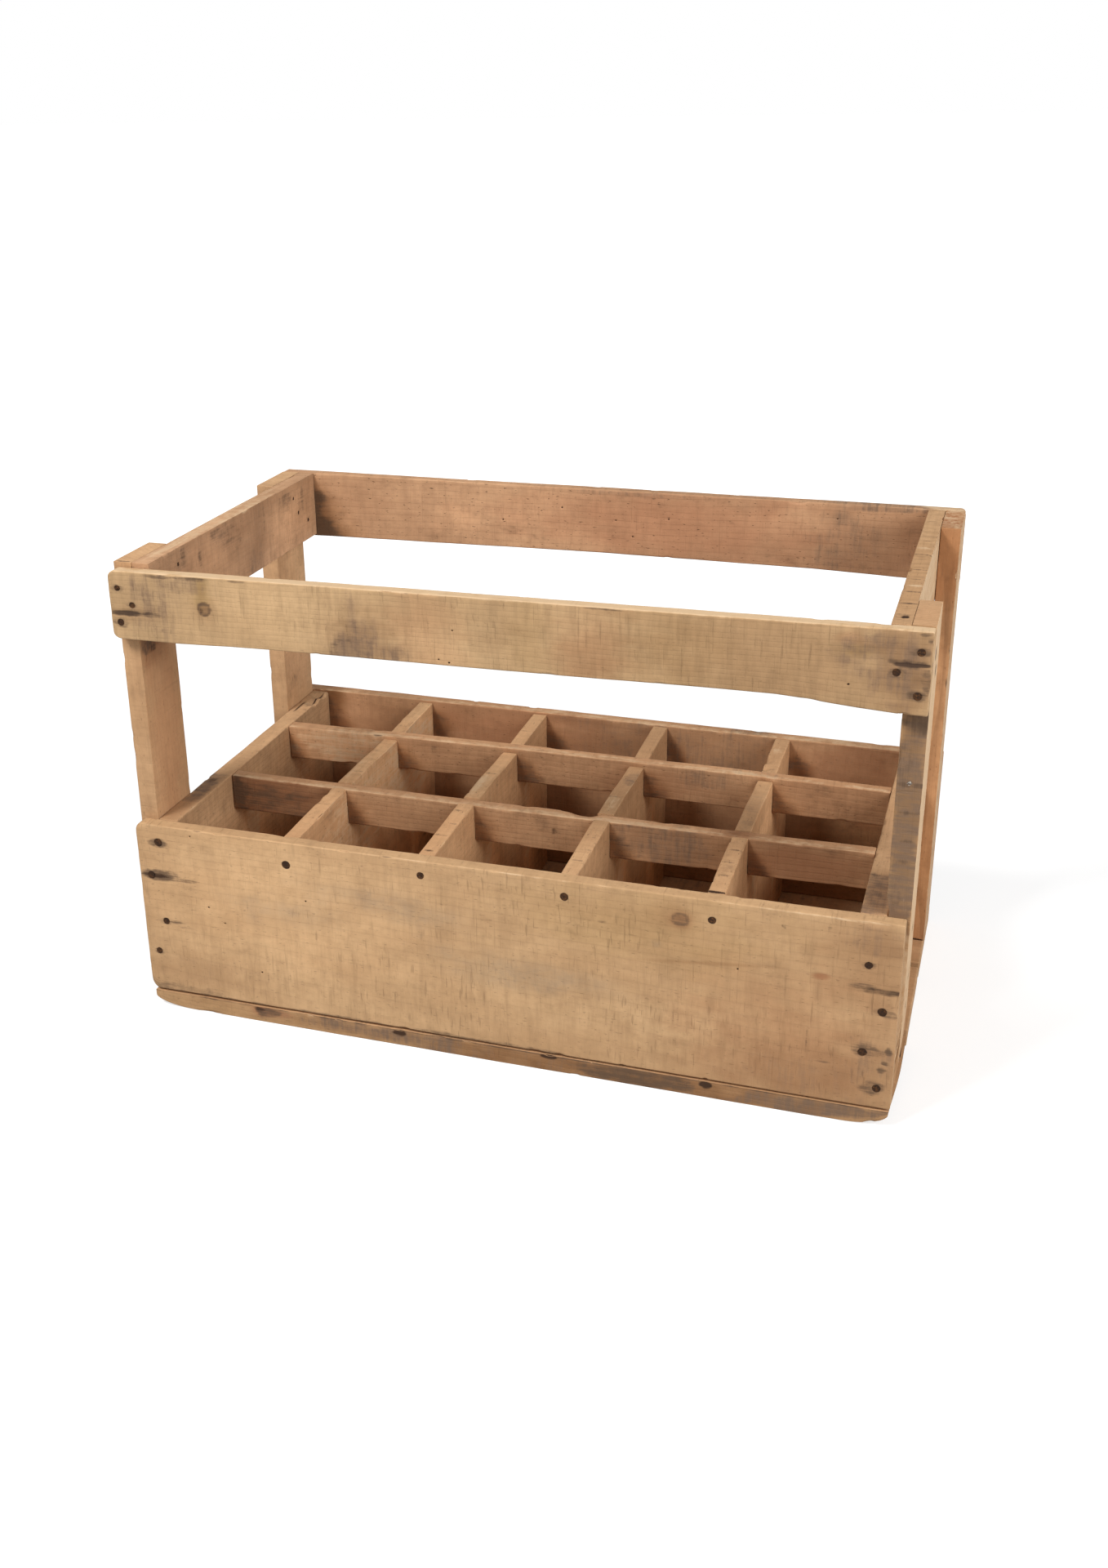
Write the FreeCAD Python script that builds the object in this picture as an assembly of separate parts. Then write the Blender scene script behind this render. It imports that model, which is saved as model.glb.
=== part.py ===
import FreeCAD, Part
import os

# A nailed wooden bottle crate: a low box with a grid of fifteen cells, and four posts that carry a rail
# frame above it. Lengths are millimetres. +X runs along the crate, +Y from the front to the back, +Z up,
# and the origin is the middle of the footprint on the ground.

# Overall length, depth and height
crate_length = 539.0
crate_depth = 292.0
crate_height = 339.0

# Heights of the lower box
board_height = 135.0
floor_thickness = 14.0

# Posts: their thickness lies along the crate, their width across it
post_thickness = 14.0
post_width = 50.0

# Lower box
front_board_thickness = 11.0
back_board_thickness = 11.0
left_end_board_thickness = 15.0
right_end_board_thickness = 17.0
front_board_setback = 2.0
board_corner_radius = 4.0

# Rails
front_rail_thickness = 10.0
back_rail_thickness = 10.0
left_end_rail_thickness = 13.0
right_end_rail_thickness = 12.0
front_rail_left_height = 48.0
front_rail_right_height = 51.0
front_rail_left_drop = 4.0
back_rail_height = 53.0
end_rail_height = 51.0
rail_corner_radius = 6.0

# The front rail's lower edge widens towards the right end: where that starts and is done, and by how much
wane_start = 73.0
wane_end = 43.0
wane_depth = 4.5

# Grid of cells: columns from the left and rows from the front, as shares of the room between the dividers
column_shares = (0.1926, 0.2042, 0.2065, 0.1995, 0.1972)
row_shares = (0.3427, 0.3710, 0.2863)
cross_divider_thickness = 12.0
long_divider_thickness = 11.0
long_divider_height = 28.0
lap_clearance = 0.3

# Floor
floor_gap = 6.0
floor_end_setback = 3.0
floor_end_radius = 6.0
front_floor_board_width = 95.0
back_floor_board_width = 95.0

# Worn edges
edge_radius = 1.2

# Nails
nail_diameter = 2.7
nail_head_diameter = 6.4
nail_head_thickness = 1.2
nail_point_length = 4.0
nail_sink = 0.5
nail_clearance = 0.1
long_nail_length = 36.0
rail_nail_length = 24.0
board_nail_length = 27.0
cut_overrun = 5.0

# Where nails sit, as shares of the pieces that they pass through
front_rail_nail_shares = (0.26, 0.78)
end_rail_tie_share = 0.52
left_tie_share = 0.25
right_tie_share = 0.5
left_board_nail_shares = (0.90, 0.70, 0.43, 0.24)
right_board_nail_shares = (0.77, 0.53, 0.30, 0.11)
left_post_nail_share = 0.65
right_post_nail_share = 0.85
divider_nail_shares = (0.872, 0.917, 0.909, 0.892)
rail_to_post_shares = ((0.20, 0.23), (0.36, 0.49), (0.70, 0.69))
board_to_post_shares = (0.14, 0.50, 0.84)
board_to_post_depth_share = 0.6
floor_run_shares = (0.176, 0.366, 0.571, 0.777)
middle_floor_nail_shares = (0.22, 0.78)
stray_nail_share = 0.475

# Joints between the two sets of dividers: the share of the shallow one's height cut from the deep one
lap_share = 0.5

# The most of a thin piece that a worn edge and a rounded corner may take
edge_limit_share = 0.3
corner_limit_share = 0.45

# How close an edge has to lie to a place to be taken as being there
match_tolerance = 0.001

# Along the crate
left_face = -crate_length / 2
right_face = crate_length / 2
left_post_inside = left_face + post_thickness
right_post_inside = right_face - post_thickness
left_board_inside = left_post_inside + left_end_board_thickness
right_board_inside = right_post_inside - right_end_board_thickness
left_rail_inside = left_post_inside + left_end_rail_thickness
right_rail_inside = right_post_inside - right_end_rail_thickness

# Across the crate
front_face = -crate_depth / 2
back_face = crate_depth / 2
front_inside = front_face + front_board_thickness
back_inside = back_face - back_board_thickness
front_rail_face = front_inside - front_rail_thickness
back_rail_face = back_inside + back_rail_thickness
front_post_back = front_inside + post_width
back_post_front = back_inside - post_width

# Up the crate
floor_top = floor_thickness
box_top = floor_top + board_height
rail_top = crate_height
lap_height = box_top - lap_share * long_divider_height
long_divider_bottom = box_top - long_divider_height

x_axis = FreeCAD.Vector(1, 0, 0)
y_axis = FreeCAD.Vector(0, 1, 0)
z_axis = FreeCAD.Vector(0, 0, 1)

wood = {}
holes = {}
nails = {}


def point(x, y, z):
    return FreeCAD.Vector(x, y, z)


def box(x0, x1, y0, y1, z0, z1):
    return Part.makeBox(x1 - x0, y1 - y0, z1 - z0, point(x0, y0, z0))


def eased(shape):
    """Round every edge a little, less on a thin piece."""
    size = shape.BoundBox
    thin = min(size.XLength, size.YLength, size.ZLength)
    return shape.makeFillet(min(edge_radius, edge_limit_share * thin), shape.Edges)


def round_corners(shape, radius, axis, place):
    """Round the edges that run from front to back at one place along an axis."""
    size = shape.BoundBox
    limit = corner_limit_share * min(size.XLength, size.ZLength)
    edges = []
    for edge in shape.Edges:
        runs_back = abs(edge.tangentAt(edge.FirstParameter).dot(y_axis)) > 1 - match_tolerance
        if runs_back and abs(edge.CenterOfMass.dot(axis) - place) < match_tolerance:
            edges.append(edge)
    return shape.makeFillet(min(radius, limit), edges)


def add_board(name, x0, x1, y0, y1, z0, z1):
    wood[name] = eased(box(x0, x1, y0, y1, z0, z1))
    holes[name] = []


def drive_nail(group, start, direction, length, passes):
    """Put a nail with its head sunk below the start point, and keep its hole for each piece it passes."""
    head_top = start + direction * nail_sink
    head = Part.makeCylinder(nail_head_diameter / 2, nail_head_thickness, head_top, direction)
    shank = Part.makeCylinder(nail_diameter / 2, length - nail_point_length, head_top, direction)
    tip_start = head_top + direction * (length - nail_point_length)
    tip = Part.makeCone(nail_diameter / 2, 0, nail_point_length, tip_start, direction)
    nails.setdefault(group, []).append(head.fuse([shank, tip]).removeSplitter())

    seat_radius = nail_head_diameter / 2 + nail_clearance
    seat_depth = cut_overrun + nail_sink + nail_head_thickness
    seat = Part.makeCylinder(seat_radius, seat_depth, start - direction * cut_overrun, direction)
    bore_radius = nail_diameter / 2 + nail_clearance
    bore = Part.makeCylinder(bore_radius, length + nail_clearance, head_top, direction)
    for name in passes:
        holes[name] += [seat, bore]


def make_front_rail():
    """A rail that hangs a little low at its left end and widens below near its right end."""
    left_top = rail_top - front_rail_left_drop
    left_bottom = left_top - front_rail_left_height
    right_bottom = rail_top - front_rail_right_height
    narrow_bottom = right_bottom + wane_depth
    outline = [
        (left_face, left_top),
        (right_face, rail_top),
        (right_face, right_bottom),
        (right_face - wane_end, right_bottom),
        (right_face - wane_start, narrow_bottom),
        (left_face, left_bottom),
    ]
    corners = [point(x, front_rail_face, z) for x, z in outline]
    face = Part.Face(Part.makePolygon(corners + corners[:1]))
    rail = face.extrude(y_axis * front_rail_thickness)
    rail = round_corners(rail, rail_corner_radius, x_axis, left_face)
    wood["front_rail"] = eased(rail)
    holes["front_rail"] = []


def make_rails():
    make_front_rail()
    back_bottom = rail_top - back_rail_height
    add_board("back_rail", left_face, right_face, back_inside, back_rail_face, back_bottom, rail_top)
    end_bottom = rail_top - end_rail_height
    for name, x0, x1 in (("left_end_rail", left_post_inside, left_rail_inside),
                         ("right_end_rail", right_rail_inside, right_post_inside)):
        add_board(name, x0, x1, front_inside, back_inside, end_bottom, rail_top)


def make_posts():
    for side, x0, x1 in (("left", left_face, left_post_inside), ("right", right_post_inside, right_face)):
        add_board("front_%s_post" % side, x0, x1, front_inside, front_post_back, floor_top, rail_top)
        add_board("back_%s_post" % side, x0, x1, back_post_front, back_inside, floor_top, rail_top)


def make_lower_box():
    front = box(left_face, right_face - front_board_setback, front_face, front_inside, floor_top, box_top)
    wood["front_board"] = eased(round_corners(front, board_corner_radius, x_axis, left_face))
    holes["front_board"] = []
    add_board("back_board", left_face, right_face, back_inside, back_face, floor_top, box_top)
    for name, x0, x1 in (("left_end_board", left_post_inside, left_board_inside),
                         ("right_end_board", right_board_inside, right_post_inside)):
        add_board(name, x0, x1, front_inside, back_inside, floor_top, box_top)


def starts(inside, outside, shares, thickness):
    """The near face of each divider that parts the room between two walls into cells."""
    room = outside - inside - (len(shares) - 1) * thickness
    places = []
    place = inside
    for share in shares[:-1]:
        place += share * room
        places.append(place)
        place += thickness
    return places


def divider_starts():
    """The left face of each cross divider and the front face of each long divider."""
    xs = starts(left_board_inside, right_board_inside, column_shares, cross_divider_thickness)
    ys = starts(front_inside, back_inside, row_shares, long_divider_thickness)
    return xs, ys


def make_dividers():
    """Deep dividers across the crate, slotted from above, and shallow ones along it, slotted from below."""
    xs, ys = divider_starts()
    for number, x in enumerate(xs, 1):
        name = "cross_divider_%d" % number
        add_board(name, x, x + cross_divider_thickness, front_inside, back_inside, floor_top, box_top)
        for y in ys:
            slot_front = y - lap_clearance
            slot_back = y + long_divider_thickness + lap_clearance
            slot = box(x - cut_overrun, x + cross_divider_thickness + cut_overrun,
                       slot_front, slot_back, lap_height, box_top + cut_overrun)
            holes[name].append(slot)
    for side, y in zip(("front", "back"), ys):
        name = "long_divider_%s" % side
        add_board(name, left_board_inside, right_board_inside, y, y + long_divider_thickness,
                  long_divider_bottom, box_top)
        for x in xs:
            slot_left = x - lap_clearance
            slot_right = x + cross_divider_thickness + lap_clearance
            slot = box(slot_left, slot_right, y - cut_overrun, y + long_divider_thickness + cut_overrun,
                       long_divider_bottom - cut_overrun, lap_height)
            holes[name].append(slot)


def floor_spans():
    """The front and back edge of each floor board."""
    front_edge = front_face + front_floor_board_width
    back_edge = back_face - back_floor_board_width
    return {
        "front": (front_face, front_edge),
        "middle": (front_edge + floor_gap, back_edge - floor_gap),
        "back": (back_edge, back_face),
    }


def make_floor():
    for side, (y0, y1) in floor_spans().items():
        plank = box(left_face + floor_end_setback, right_face - floor_end_setback, y0, y1, 0, floor_top)
        plank = round_corners(plank, floor_end_radius, z_axis, 0)
        name = "floor_board_%s" % side
        wood[name] = eased(plank)
        holes[name] = []


def nail_long_sides():
    """Nails through the long rails and boards, into the posts, the end pieces and the deep dividers."""
    sides = (
        ("front", y_axis, front_rail_face, front_face, left_board_nail_shares, right_board_nail_shares),
        ("back", -y_axis, back_rail_face, back_face, right_board_nail_shares, left_board_nail_shares),
    )
    ends = (
        ("left", left_face, 1, left_end_rail_thickness, left_tie_share,
         left_end_board_thickness, left_post_nail_share),
        ("right", right_face, -1, right_end_rail_thickness, right_tie_share,
         right_end_board_thickness, right_post_nail_share),
    )
    xs = divider_starts()[0]
    for side, inward, rail_y, board_y, left_shares, right_shares in sides:
        rail = "%s_rail" % side
        board = "%s_board" % side
        for end, face, turn, rail_thick, tie_share, board_thick, post_share in ends:
            post = "%s_%s_post" % (side, end)
            for share in front_rail_nail_shares:
                spot = point(face + turn * post_thickness / 2, rail_y, rail_top - share * end_rail_height)
                drive_nail(rail + "_nails", spot, inward, long_nail_length, (rail, post))
            tie_x = face + turn * (post_thickness + tie_share * rail_thick)
            spot = point(tie_x, rail_y, rail_top - end_rail_tie_share * end_rail_height)
            drive_nail(rail + "_nails", spot, inward, long_nail_length, (rail, "%s_end_rail" % end))

            shares = left_shares if end == "left" else right_shares
            for index, share in enumerate(shares):
                height = floor_top + share * board_height
                into_post = index % 2 == 1
                target = post if into_post else "%s_end_board" % end
                in_board = post_thickness + tie_share * board_thick
                reach = post_share * post_thickness if into_post else in_board
                spot = point(face + turn * reach, board_y, height)
                drive_nail(board + "_nails", spot, inward, long_nail_length, (board, target))
        for number, (x, share) in enumerate(zip(xs, divider_nail_shares), 1):
            passes = (board, "cross_divider_%d" % number)
            spot = point(x + cross_divider_thickness / 2, board_y, floor_top + share * board_height)
            drive_nail(side + "_divider_nails", spot, inward, long_nail_length, passes)


def nail_ends():
    """Nails that tie the end rails, the end boards and the long dividers at both ends."""
    ys = divider_starts()[1]
    ends = (
        ("left", x_axis, left_face, left_post_inside, left_rail_inside),
        ("right", -x_axis, right_face, right_post_inside, right_rail_inside),
    )
    posts = (("front", front_post_back, -1), ("back", back_post_front, 1))
    for end, inward, outer_x, post_x, rail_x in ends:
        for place, inner_edge, away in posts:
            post = "%s_%s_post" % (place, end)
            for across, down in rail_to_post_shares:
                y = inner_edge + away * across * post_width
                spot = point(rail_x, y, rail_top - down * end_rail_height)
                passes = ("%s_end_rail" % end, post)
                drive_nail(end + "_rail_nails", spot, -inward, rail_nail_length, passes)
            for share in board_to_post_shares:
                y = inner_edge + away * (1 - board_to_post_depth_share) * post_width
                spot = point(outer_x, y, floor_top + share * board_height)
                passes = (post, "%s_end_board" % end)
                drive_nail(end + "_board_nails", spot, inward, board_nail_length, passes)
        for place, y in zip(("front", "back"), ys):
            middle = (lap_height + long_divider_bottom) / 2
            spot = point(post_x, y + long_divider_thickness / 2, middle)
            drive_nail("long_divider_nails", spot, inward, long_nail_length,
                       ("%s_end_board" % end, "long_divider_%s" % place))


def nail_floor():
    """Nails from below, into the lower edges of the boards that stand on the floor."""
    spans = floor_spans()
    long_sides = (
        ("front", front_face + front_board_thickness / 2),
        ("back", back_face - back_board_thickness / 2),
    )
    for side, y in long_sides:
        plank = "floor_board_%s" % side
        for share in floor_run_shares:
            spot = point(left_face + share * crate_length, y, 0)
            drive_nail("floor_nails", spot, z_axis, long_nail_length, (plank, "%s_board" % side))
    ends = (
        ("left", (left_post_inside + left_board_inside) / 2),
        ("right", (right_post_inside + right_board_inside) / 2),
    )
    for end, x in ends:
        for side, (y0, y1) in spans.items():
            shares = middle_floor_nail_shares if side == "middle" else (sum(middle_floor_nail_shares) / 2,)
            for share in shares:
                spot = point(x, y0 + share * (y1 - y0), 0)
                passes = ("floor_board_%s" % side, "%s_end_board" % end)
                drive_nail("floor_nails", spot, z_axis, long_nail_length, passes)


def nail_stray():
    """One old nail that holds nothing, in the bare front of a post."""
    height = box_top + stray_nail_share * (rail_top - box_top)
    spot = point(right_face - post_thickness / 2, front_inside, height)
    drive_nail("stray_nail", spot, y_axis, rail_nail_length, ("front_right_post",))


def write_parts():
    os.makedirs("parts", exist_ok=True)
    for name, shape in wood.items():
        solid = shape.cut(holes[name]) if holes[name] else shape
        solid.exportStep("parts/%s.step" % name)
    for name, group in nails.items():
        Part.makeCompound(group).exportStep("parts/%s.step" % name)


make_rails()
make_posts()
make_lower_box()
make_dividers()
make_floor()
nail_long_sides()
nail_ends()
nail_floor()
nail_stray()
write_parts()
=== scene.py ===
import math

import bmesh
import bpy
import numpy as np
from mathutils import Matrix, Vector


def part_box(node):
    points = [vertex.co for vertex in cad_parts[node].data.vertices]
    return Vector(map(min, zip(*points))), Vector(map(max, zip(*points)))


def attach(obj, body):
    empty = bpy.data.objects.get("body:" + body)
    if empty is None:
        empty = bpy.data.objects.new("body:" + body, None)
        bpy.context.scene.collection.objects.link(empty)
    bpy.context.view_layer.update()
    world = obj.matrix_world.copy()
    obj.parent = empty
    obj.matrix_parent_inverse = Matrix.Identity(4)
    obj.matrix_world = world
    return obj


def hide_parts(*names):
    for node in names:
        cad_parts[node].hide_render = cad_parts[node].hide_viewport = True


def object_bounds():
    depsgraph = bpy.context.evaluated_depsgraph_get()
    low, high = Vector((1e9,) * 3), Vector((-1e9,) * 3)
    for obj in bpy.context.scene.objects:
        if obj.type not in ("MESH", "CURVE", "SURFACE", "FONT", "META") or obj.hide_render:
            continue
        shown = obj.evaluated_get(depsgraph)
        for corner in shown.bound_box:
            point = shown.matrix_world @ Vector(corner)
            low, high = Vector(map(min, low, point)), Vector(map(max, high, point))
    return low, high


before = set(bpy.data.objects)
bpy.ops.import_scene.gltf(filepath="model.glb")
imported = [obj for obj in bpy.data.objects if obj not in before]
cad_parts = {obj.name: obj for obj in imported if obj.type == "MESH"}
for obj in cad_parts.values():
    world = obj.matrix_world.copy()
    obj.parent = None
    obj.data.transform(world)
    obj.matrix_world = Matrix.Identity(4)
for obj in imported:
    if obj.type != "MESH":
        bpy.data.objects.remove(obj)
cad_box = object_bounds()

# An old nailed crate of sawn boards. Each board of the frame gets a worn mesh with its own stain marks,
# painted light and painted shade.
# Lengths are metres, in the frame of the imported part. Shares are parts of a size, or of a full effect.

X, Y, Z = 0, 1, 2

# Mesh fineness: the distance between points, points near a board's edges, and the least distance kept
COARSE_STEP = 0.0027
FINE_STEP = 0.0016
EDGE_STEPS = (0.0004, 0.0009, 0.0015, 0.0023, 0.0034)
CLOSEST_LINES = 0.00022
MERGE_REACH = 0.000001
SMOOTH_ANGLE = math.radians(48)

# Repeatable noise: factors that scramble a point's place, and its layers with the total that evens them out
HASH_FACTORS = (374761393, 668265263, 2147483629)
HASH_MIX = 1274126177
HASH_SHIFTS = (13, 16)
HASH_BITS = 0xFFFFFFFF
HASH_HALF = 0x7FFFFFFF
ROUGH_LAYERS = 3
ROUGH_TOTAL = 1.6

# Each board's noise, in bumps per metre: raggedness and fringe along and across the grain, and slow wander
RAGGED_PER_METRE = (55, 110)
FRINGE_PER_METRE = (330, 24)
WANDER_PER_METRE = 17

# Rounded edges: their radius, how uneven it is, and its limits
EDGE_RADIUS = 0.0012
TIGHT_RADIUS = 0.0004
EDGE_UNEVEN_SHARE = 0.4
EDGE_LEAST_SHARE = 0.35
EDGE_LIMIT_SHARE = 0.42

# Wear: how far faces dip, how pale edges are rubbed, on what bend and at which places
FACE_DIP = 0.0004
EDGE_WEAR_SHARE = 0.42
WEAR_BEND_SHARES = (0.04, 0.22)
WEAR_PLACE_SHARES = (-0.5, 0.6)
WEAR_RAGGED_SHARE = 0.6

# Knocks along the long edges: least and greatest sizes, how many, their rim and their stain
KNOCK_LONG = (0.002, 0.007)
KNOCK_WIDE = (0.0012, 0.0026)
KNOCK_DEPTH = (0.0003, 0.0011)
KNOCKS_PER_METRE = 11
LONG_EDGES = 4
KNOCK_RAGGED_SHARE = 0.3
KNOCK_RIM_SHARES = (1.1, 0.3)
KNOCK_PALE_SHARE = 0.45
KNOCK_STAIN_SHARE = 0.7

# Grooves and chips, and how far below its face a chip fades out
GROOVE_DEPTH = 0.0007
CHIP_DEPTH = 0.004
CHIP_REACH = 0.008

# How ragged and how soft the rim is of each kind of stain, painted light and painted shade
RAGGED_SHARES = {
    "dirt": 0.6, "grey": 0.6, "rust": 0.5, "pale": 0.6, "warm": 0.4, "saw": 0.4, "groove": 0.5,
    "smudge": 0.7, "umber": 0.4, "rose": 0.4, "olive": 0.4, "bright": 0.4, "chip": 0.35, "knot": 0.2,
    "burl": 0.3, "blot": 0.42, "drip": 0.6,
}
SOFT_SHARES = {
    "dirt": 0.55, "grey": 0.6, "rust": 0.5, "pale": 0.5, "warm": 0.5, "saw": 0.8, "groove": 0.5,
    "smudge": 1.0, "umber": 0.9, "rose": 0.9, "olive": 0.9, "bright": 0.9, "chip": 0.6, "knot": 0.3,
    "burl": 0.8, "blot": 0.75, "drip": 0.9,
}

# Kinds with a squarer outline, and the powers that make an outline round or squarer
BLOCKY_KINDS = ("groove", "grey", "blot")
ROUND_POWER = 2.0
BLOCKY_POWER = 3.5

# Kinds with a fringe across the grain, and the stain that each of them is
FRINGED_KINDS = {"blot": "grey", "drip": "dirt"}

# A knot is darker at its rim, and a burl is warm with a dark ring: how strong, and where
KNOT_CORE_SHARE = 0.6
KNOT_RIM_SHARES = (0.40, 0.85)
BURL_WARM_SHARE = 0.35
BURL_RING_SHARE = 0.85
BURL_OUTER_SHARES = (0.95, 0.45)
BURL_INNER_SHARES = (-0.1, 0.55)

# How far a point has to look out of a face to take that face's stains or its nails
FACE_SHARES = (0.25, 0.75)
ON_FACE_SHARE = 0.5

# Layers of the mesh, each with four kinds of stain, some of which also lay painted light and painted shade
LAYERS = {
    "marks": ("dirt", "grey", "rust", "pale"),
    "tones": ("warm", "saw", "groove", "smudge"),
    "washes_and_painted_light": ("umber", "rose", "olive", "bright"),
}

# Nails: the dent round a head, the reach of its rust and of its halo, and how ragged they are
NAIL_RADIUS = 0.0018
DENT_RADIUS = 0.0026
DENT_DEPTH = 0.0011
RUST_REACH = (0.0032, 0.0018)
HALO_REACH = (0.0052, 0.0020)
HALO_STRETCH_SHARE = 0.6
NAIL_RAGGED_SHARE = 0.3
HALO_RAGGED_SHARE = 0.4

# How near to a face a head's points lie, how far one head's points spread, and close cuts round a head
HEAD_REACH = 0.003
NAIL_SPACING = 0.008
NAIL_LINES = (0, 0.0009, 0.0016, 0.0022, 0.0028, 0.0036, 0.0048)

# Worm holes and pin pricks: radius, its rim, depth, and close cuts round each
DOT_RADIUS = 0.0005
DOT_RIM_SHARES = (1.6, 0.5)
DOT_DEPTH = 0.0009
DOT_LINES = (0, 0.0004, 0.0009)

# How large the rusty spot of a nail is and how strong its halo, beside the lengths above
USUAL_NAIL_SHARES = (1.12, 0.55)
NAIL_SHARES = {
    "front_rail_nails": (0.95, 0.6),
    "front_divider_nails": (1.12, 0.15),
    "left_rail_nails": (0.55, 0.3),
    "right_rail_nails": (0.55, 0.3),
    "stray_nail": (0.4, 0.15),
}

# Crossing dividers: room beside a lapped board, and half the width of a slot's steep wall
SLOT_ROOM = 0.0002
SLOT_WALL = 0.00015

# Where a moved edge fades out up the board, and how far a rounded corner does, in heights of the corner
EDGE_FADE_SHARES = (0.3, 1)
CORNER_FADE_SHARE = 2.5

# Rounded corners: the end (-1 left, 1 right), the edge (-1 lower, 1 upper), how long and how high each is
CORNERS = {
    "front_rail": ((-1, 1, 0.006, 0.006), (-1, -1, 0.006, 0.006)),
    "front_board": ((-1, 1, 0.005, 0.005), (-1, -1, 0.006, 0.011)),
    "back_rail": ((1, 1, 0.004, 0.004),),
    "front_right_post": ((1, -1, 0.006, 0.04),),
    "floor_board_front": ((-1, -1, 0.034, 0.0085), (1, -1, 0.030, 0.0108)),
}

# Boards of one kind
FLOOR_BOARDS = ("floor_board_front", "floor_board_middle", "floor_board_back")
LONG_DIVIDERS = ("long_divider_front", "long_divider_back")
CROSS_DIVIDERS = ("cross_divider_1", "cross_divider_2", "cross_divider_3", "cross_divider_4")

# Uneven edges, lower (-1) or upper (1): places along the board, and how much higher the edge is at each, as
# a share of the board's height
EDGE_SHARES = {
    "front_rail": (-1, (
        (0, 0), (0.085, 0.004), (0.22, 0.040), (0.5, 0.056), (0.80, 0.090), (0.835, 0.088),
        (0.865, 0.070), (0.9, 0.038), (0.925, 0.017), (0.965, -0.008), (1, -0.015),
    )),
    "back_rail": (-1, ((0, -0.008), (0.1, 0.012), (0.5, 0.05), (0.8, 0.033), (1, -0.025))),
    "back_board": (1, ((0, 0.012), (0.3, 0.008), (0.7, 0), (1, -0.006))),
}
CROSS_TOP_SHARES = (
    (0, -0.008), (0.25, 0), (0.5, 0), (0.62, -0.012), (0.74, -0.014), (0.85, -0.006), (1, -0.004),
)
EDGE_SHARES.update({node: (1, CROSS_TOP_SHARES) for node in CROSS_DIVIDERS})

# How low the front rail's left end and the right end rail's lower edge sit, and how long dividers arch
RAIL_LEFT_DROP = 0.0034
RIGHT_RAIL_DROP = 0.004
FRONT_DIVIDER_ARCH = -0.0008
BACK_DIVIDER_ARCH = 0.0019

# The front board's shorter left end
BOARD_SHORT = 0.0008
BOARD_END_SHARES = (0.1, 0.0)

# Front posts: how the right one swells between box and rail, and how much narrower the left one is
POST_SWELL = 0.0018
POST_FREE_SHARES = ((0.42, 0.46), (0.843, 0.830))
NARROW_POST = 0.0012

# Floor boards: the front one's low top, how far right ends reach out, and which part of the front one does
FLOOR_TOP_GAP = 0.0013
FLOOR_RIGHT_REACH = 0.003
FLOOR_END_SHARES = (0.9, 1.0)
FLOOR_BACK_SHARES = (-0.1, 0.6)

# Camera, from the match with the photograph
CAMERA_PLACE = (0.3137, -1.06306, 0.64289)
CAMERA_RIGHT = (0.94693, 0.32071, -0.02173)
CAMERA_DOWN = (0.10344, -0.36802, -0.92405)
CAMERA_FORWARD = (-0.30434, 0.87276, -0.38166)
FOCAL_PIXELS = 2003.4
CENTRE_PIXELS = (588.35, 906.6)
IMAGE_PIXELS = (1357.0, 1920.0)
SENSOR_MM = 36.0

# Lamps: place, size and power; all look at the crate's middle
LAMPS = {
    "key": ((-0.86, -1.30, 1.90), 0.6, 36),
    "fill": ((2.2, -1.25, 1.45), 1.6, 52),
}
LAMP_TARGET = (0, 0, 0.15)
WORLD_STRENGTH = 0.32
WHITE = (1, 1, 1, 1)

# The floor glows for the camera, from near the crate to far away
FLOOR_SIZE = 40
FLOOR_COLOR = (0.5, 0.5, 0.5, 1)
FLOOR_NEAR_GLOW = 0.64
GLOW_REACH = (0.45, 1.5)

# Each face's axis and side, and the axes that run along it and up it
FACES = {
    "front": (Y, -1, X, Z),
    "back": (Y, 1, X, Z),
    "left": (X, -1, Y, Z),
    "right": (X, 1, Y, Z),
    "top": (Z, 1, X, Y),
    "under": (Z, -1, X, Y),
}

# Colours of stains, with dirt also laid as painted shade and pale also as painted light, and the tints that
# washes multiply the wood by
STAIN_AND_PAINTED_LIGHT_COLORS = {
    "dirt": (0.115, 0.068, 0.040, 1),
    "grey": (0.200, 0.123, 0.076, 1),
    "rust": (0.048, 0.022, 0.010, 1),
    "pale": (0.68, 0.48, 0.29, 1),
    "warm": (0.36, 0.15, 0.07, 1),
    "groove": (0.054, 0.029, 0.018, 1),
    "smudge": (0.15, 0.135, 0.115, 1),
}
# Umber, olive and rose tints also lay painted shade, and the bright tint is painted light
WASH_AND_PAINTED_LIGHT_TINTS = {
    "umber": (0.60, 0.50, 0.44, 1),
    "rose": (0.98, 0.80, 0.76, 1),
    "olive": (0.86, 0.86, 0.74, 1),
    "bright": (1.60, 1.60, 1.60, 1),
}

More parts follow.
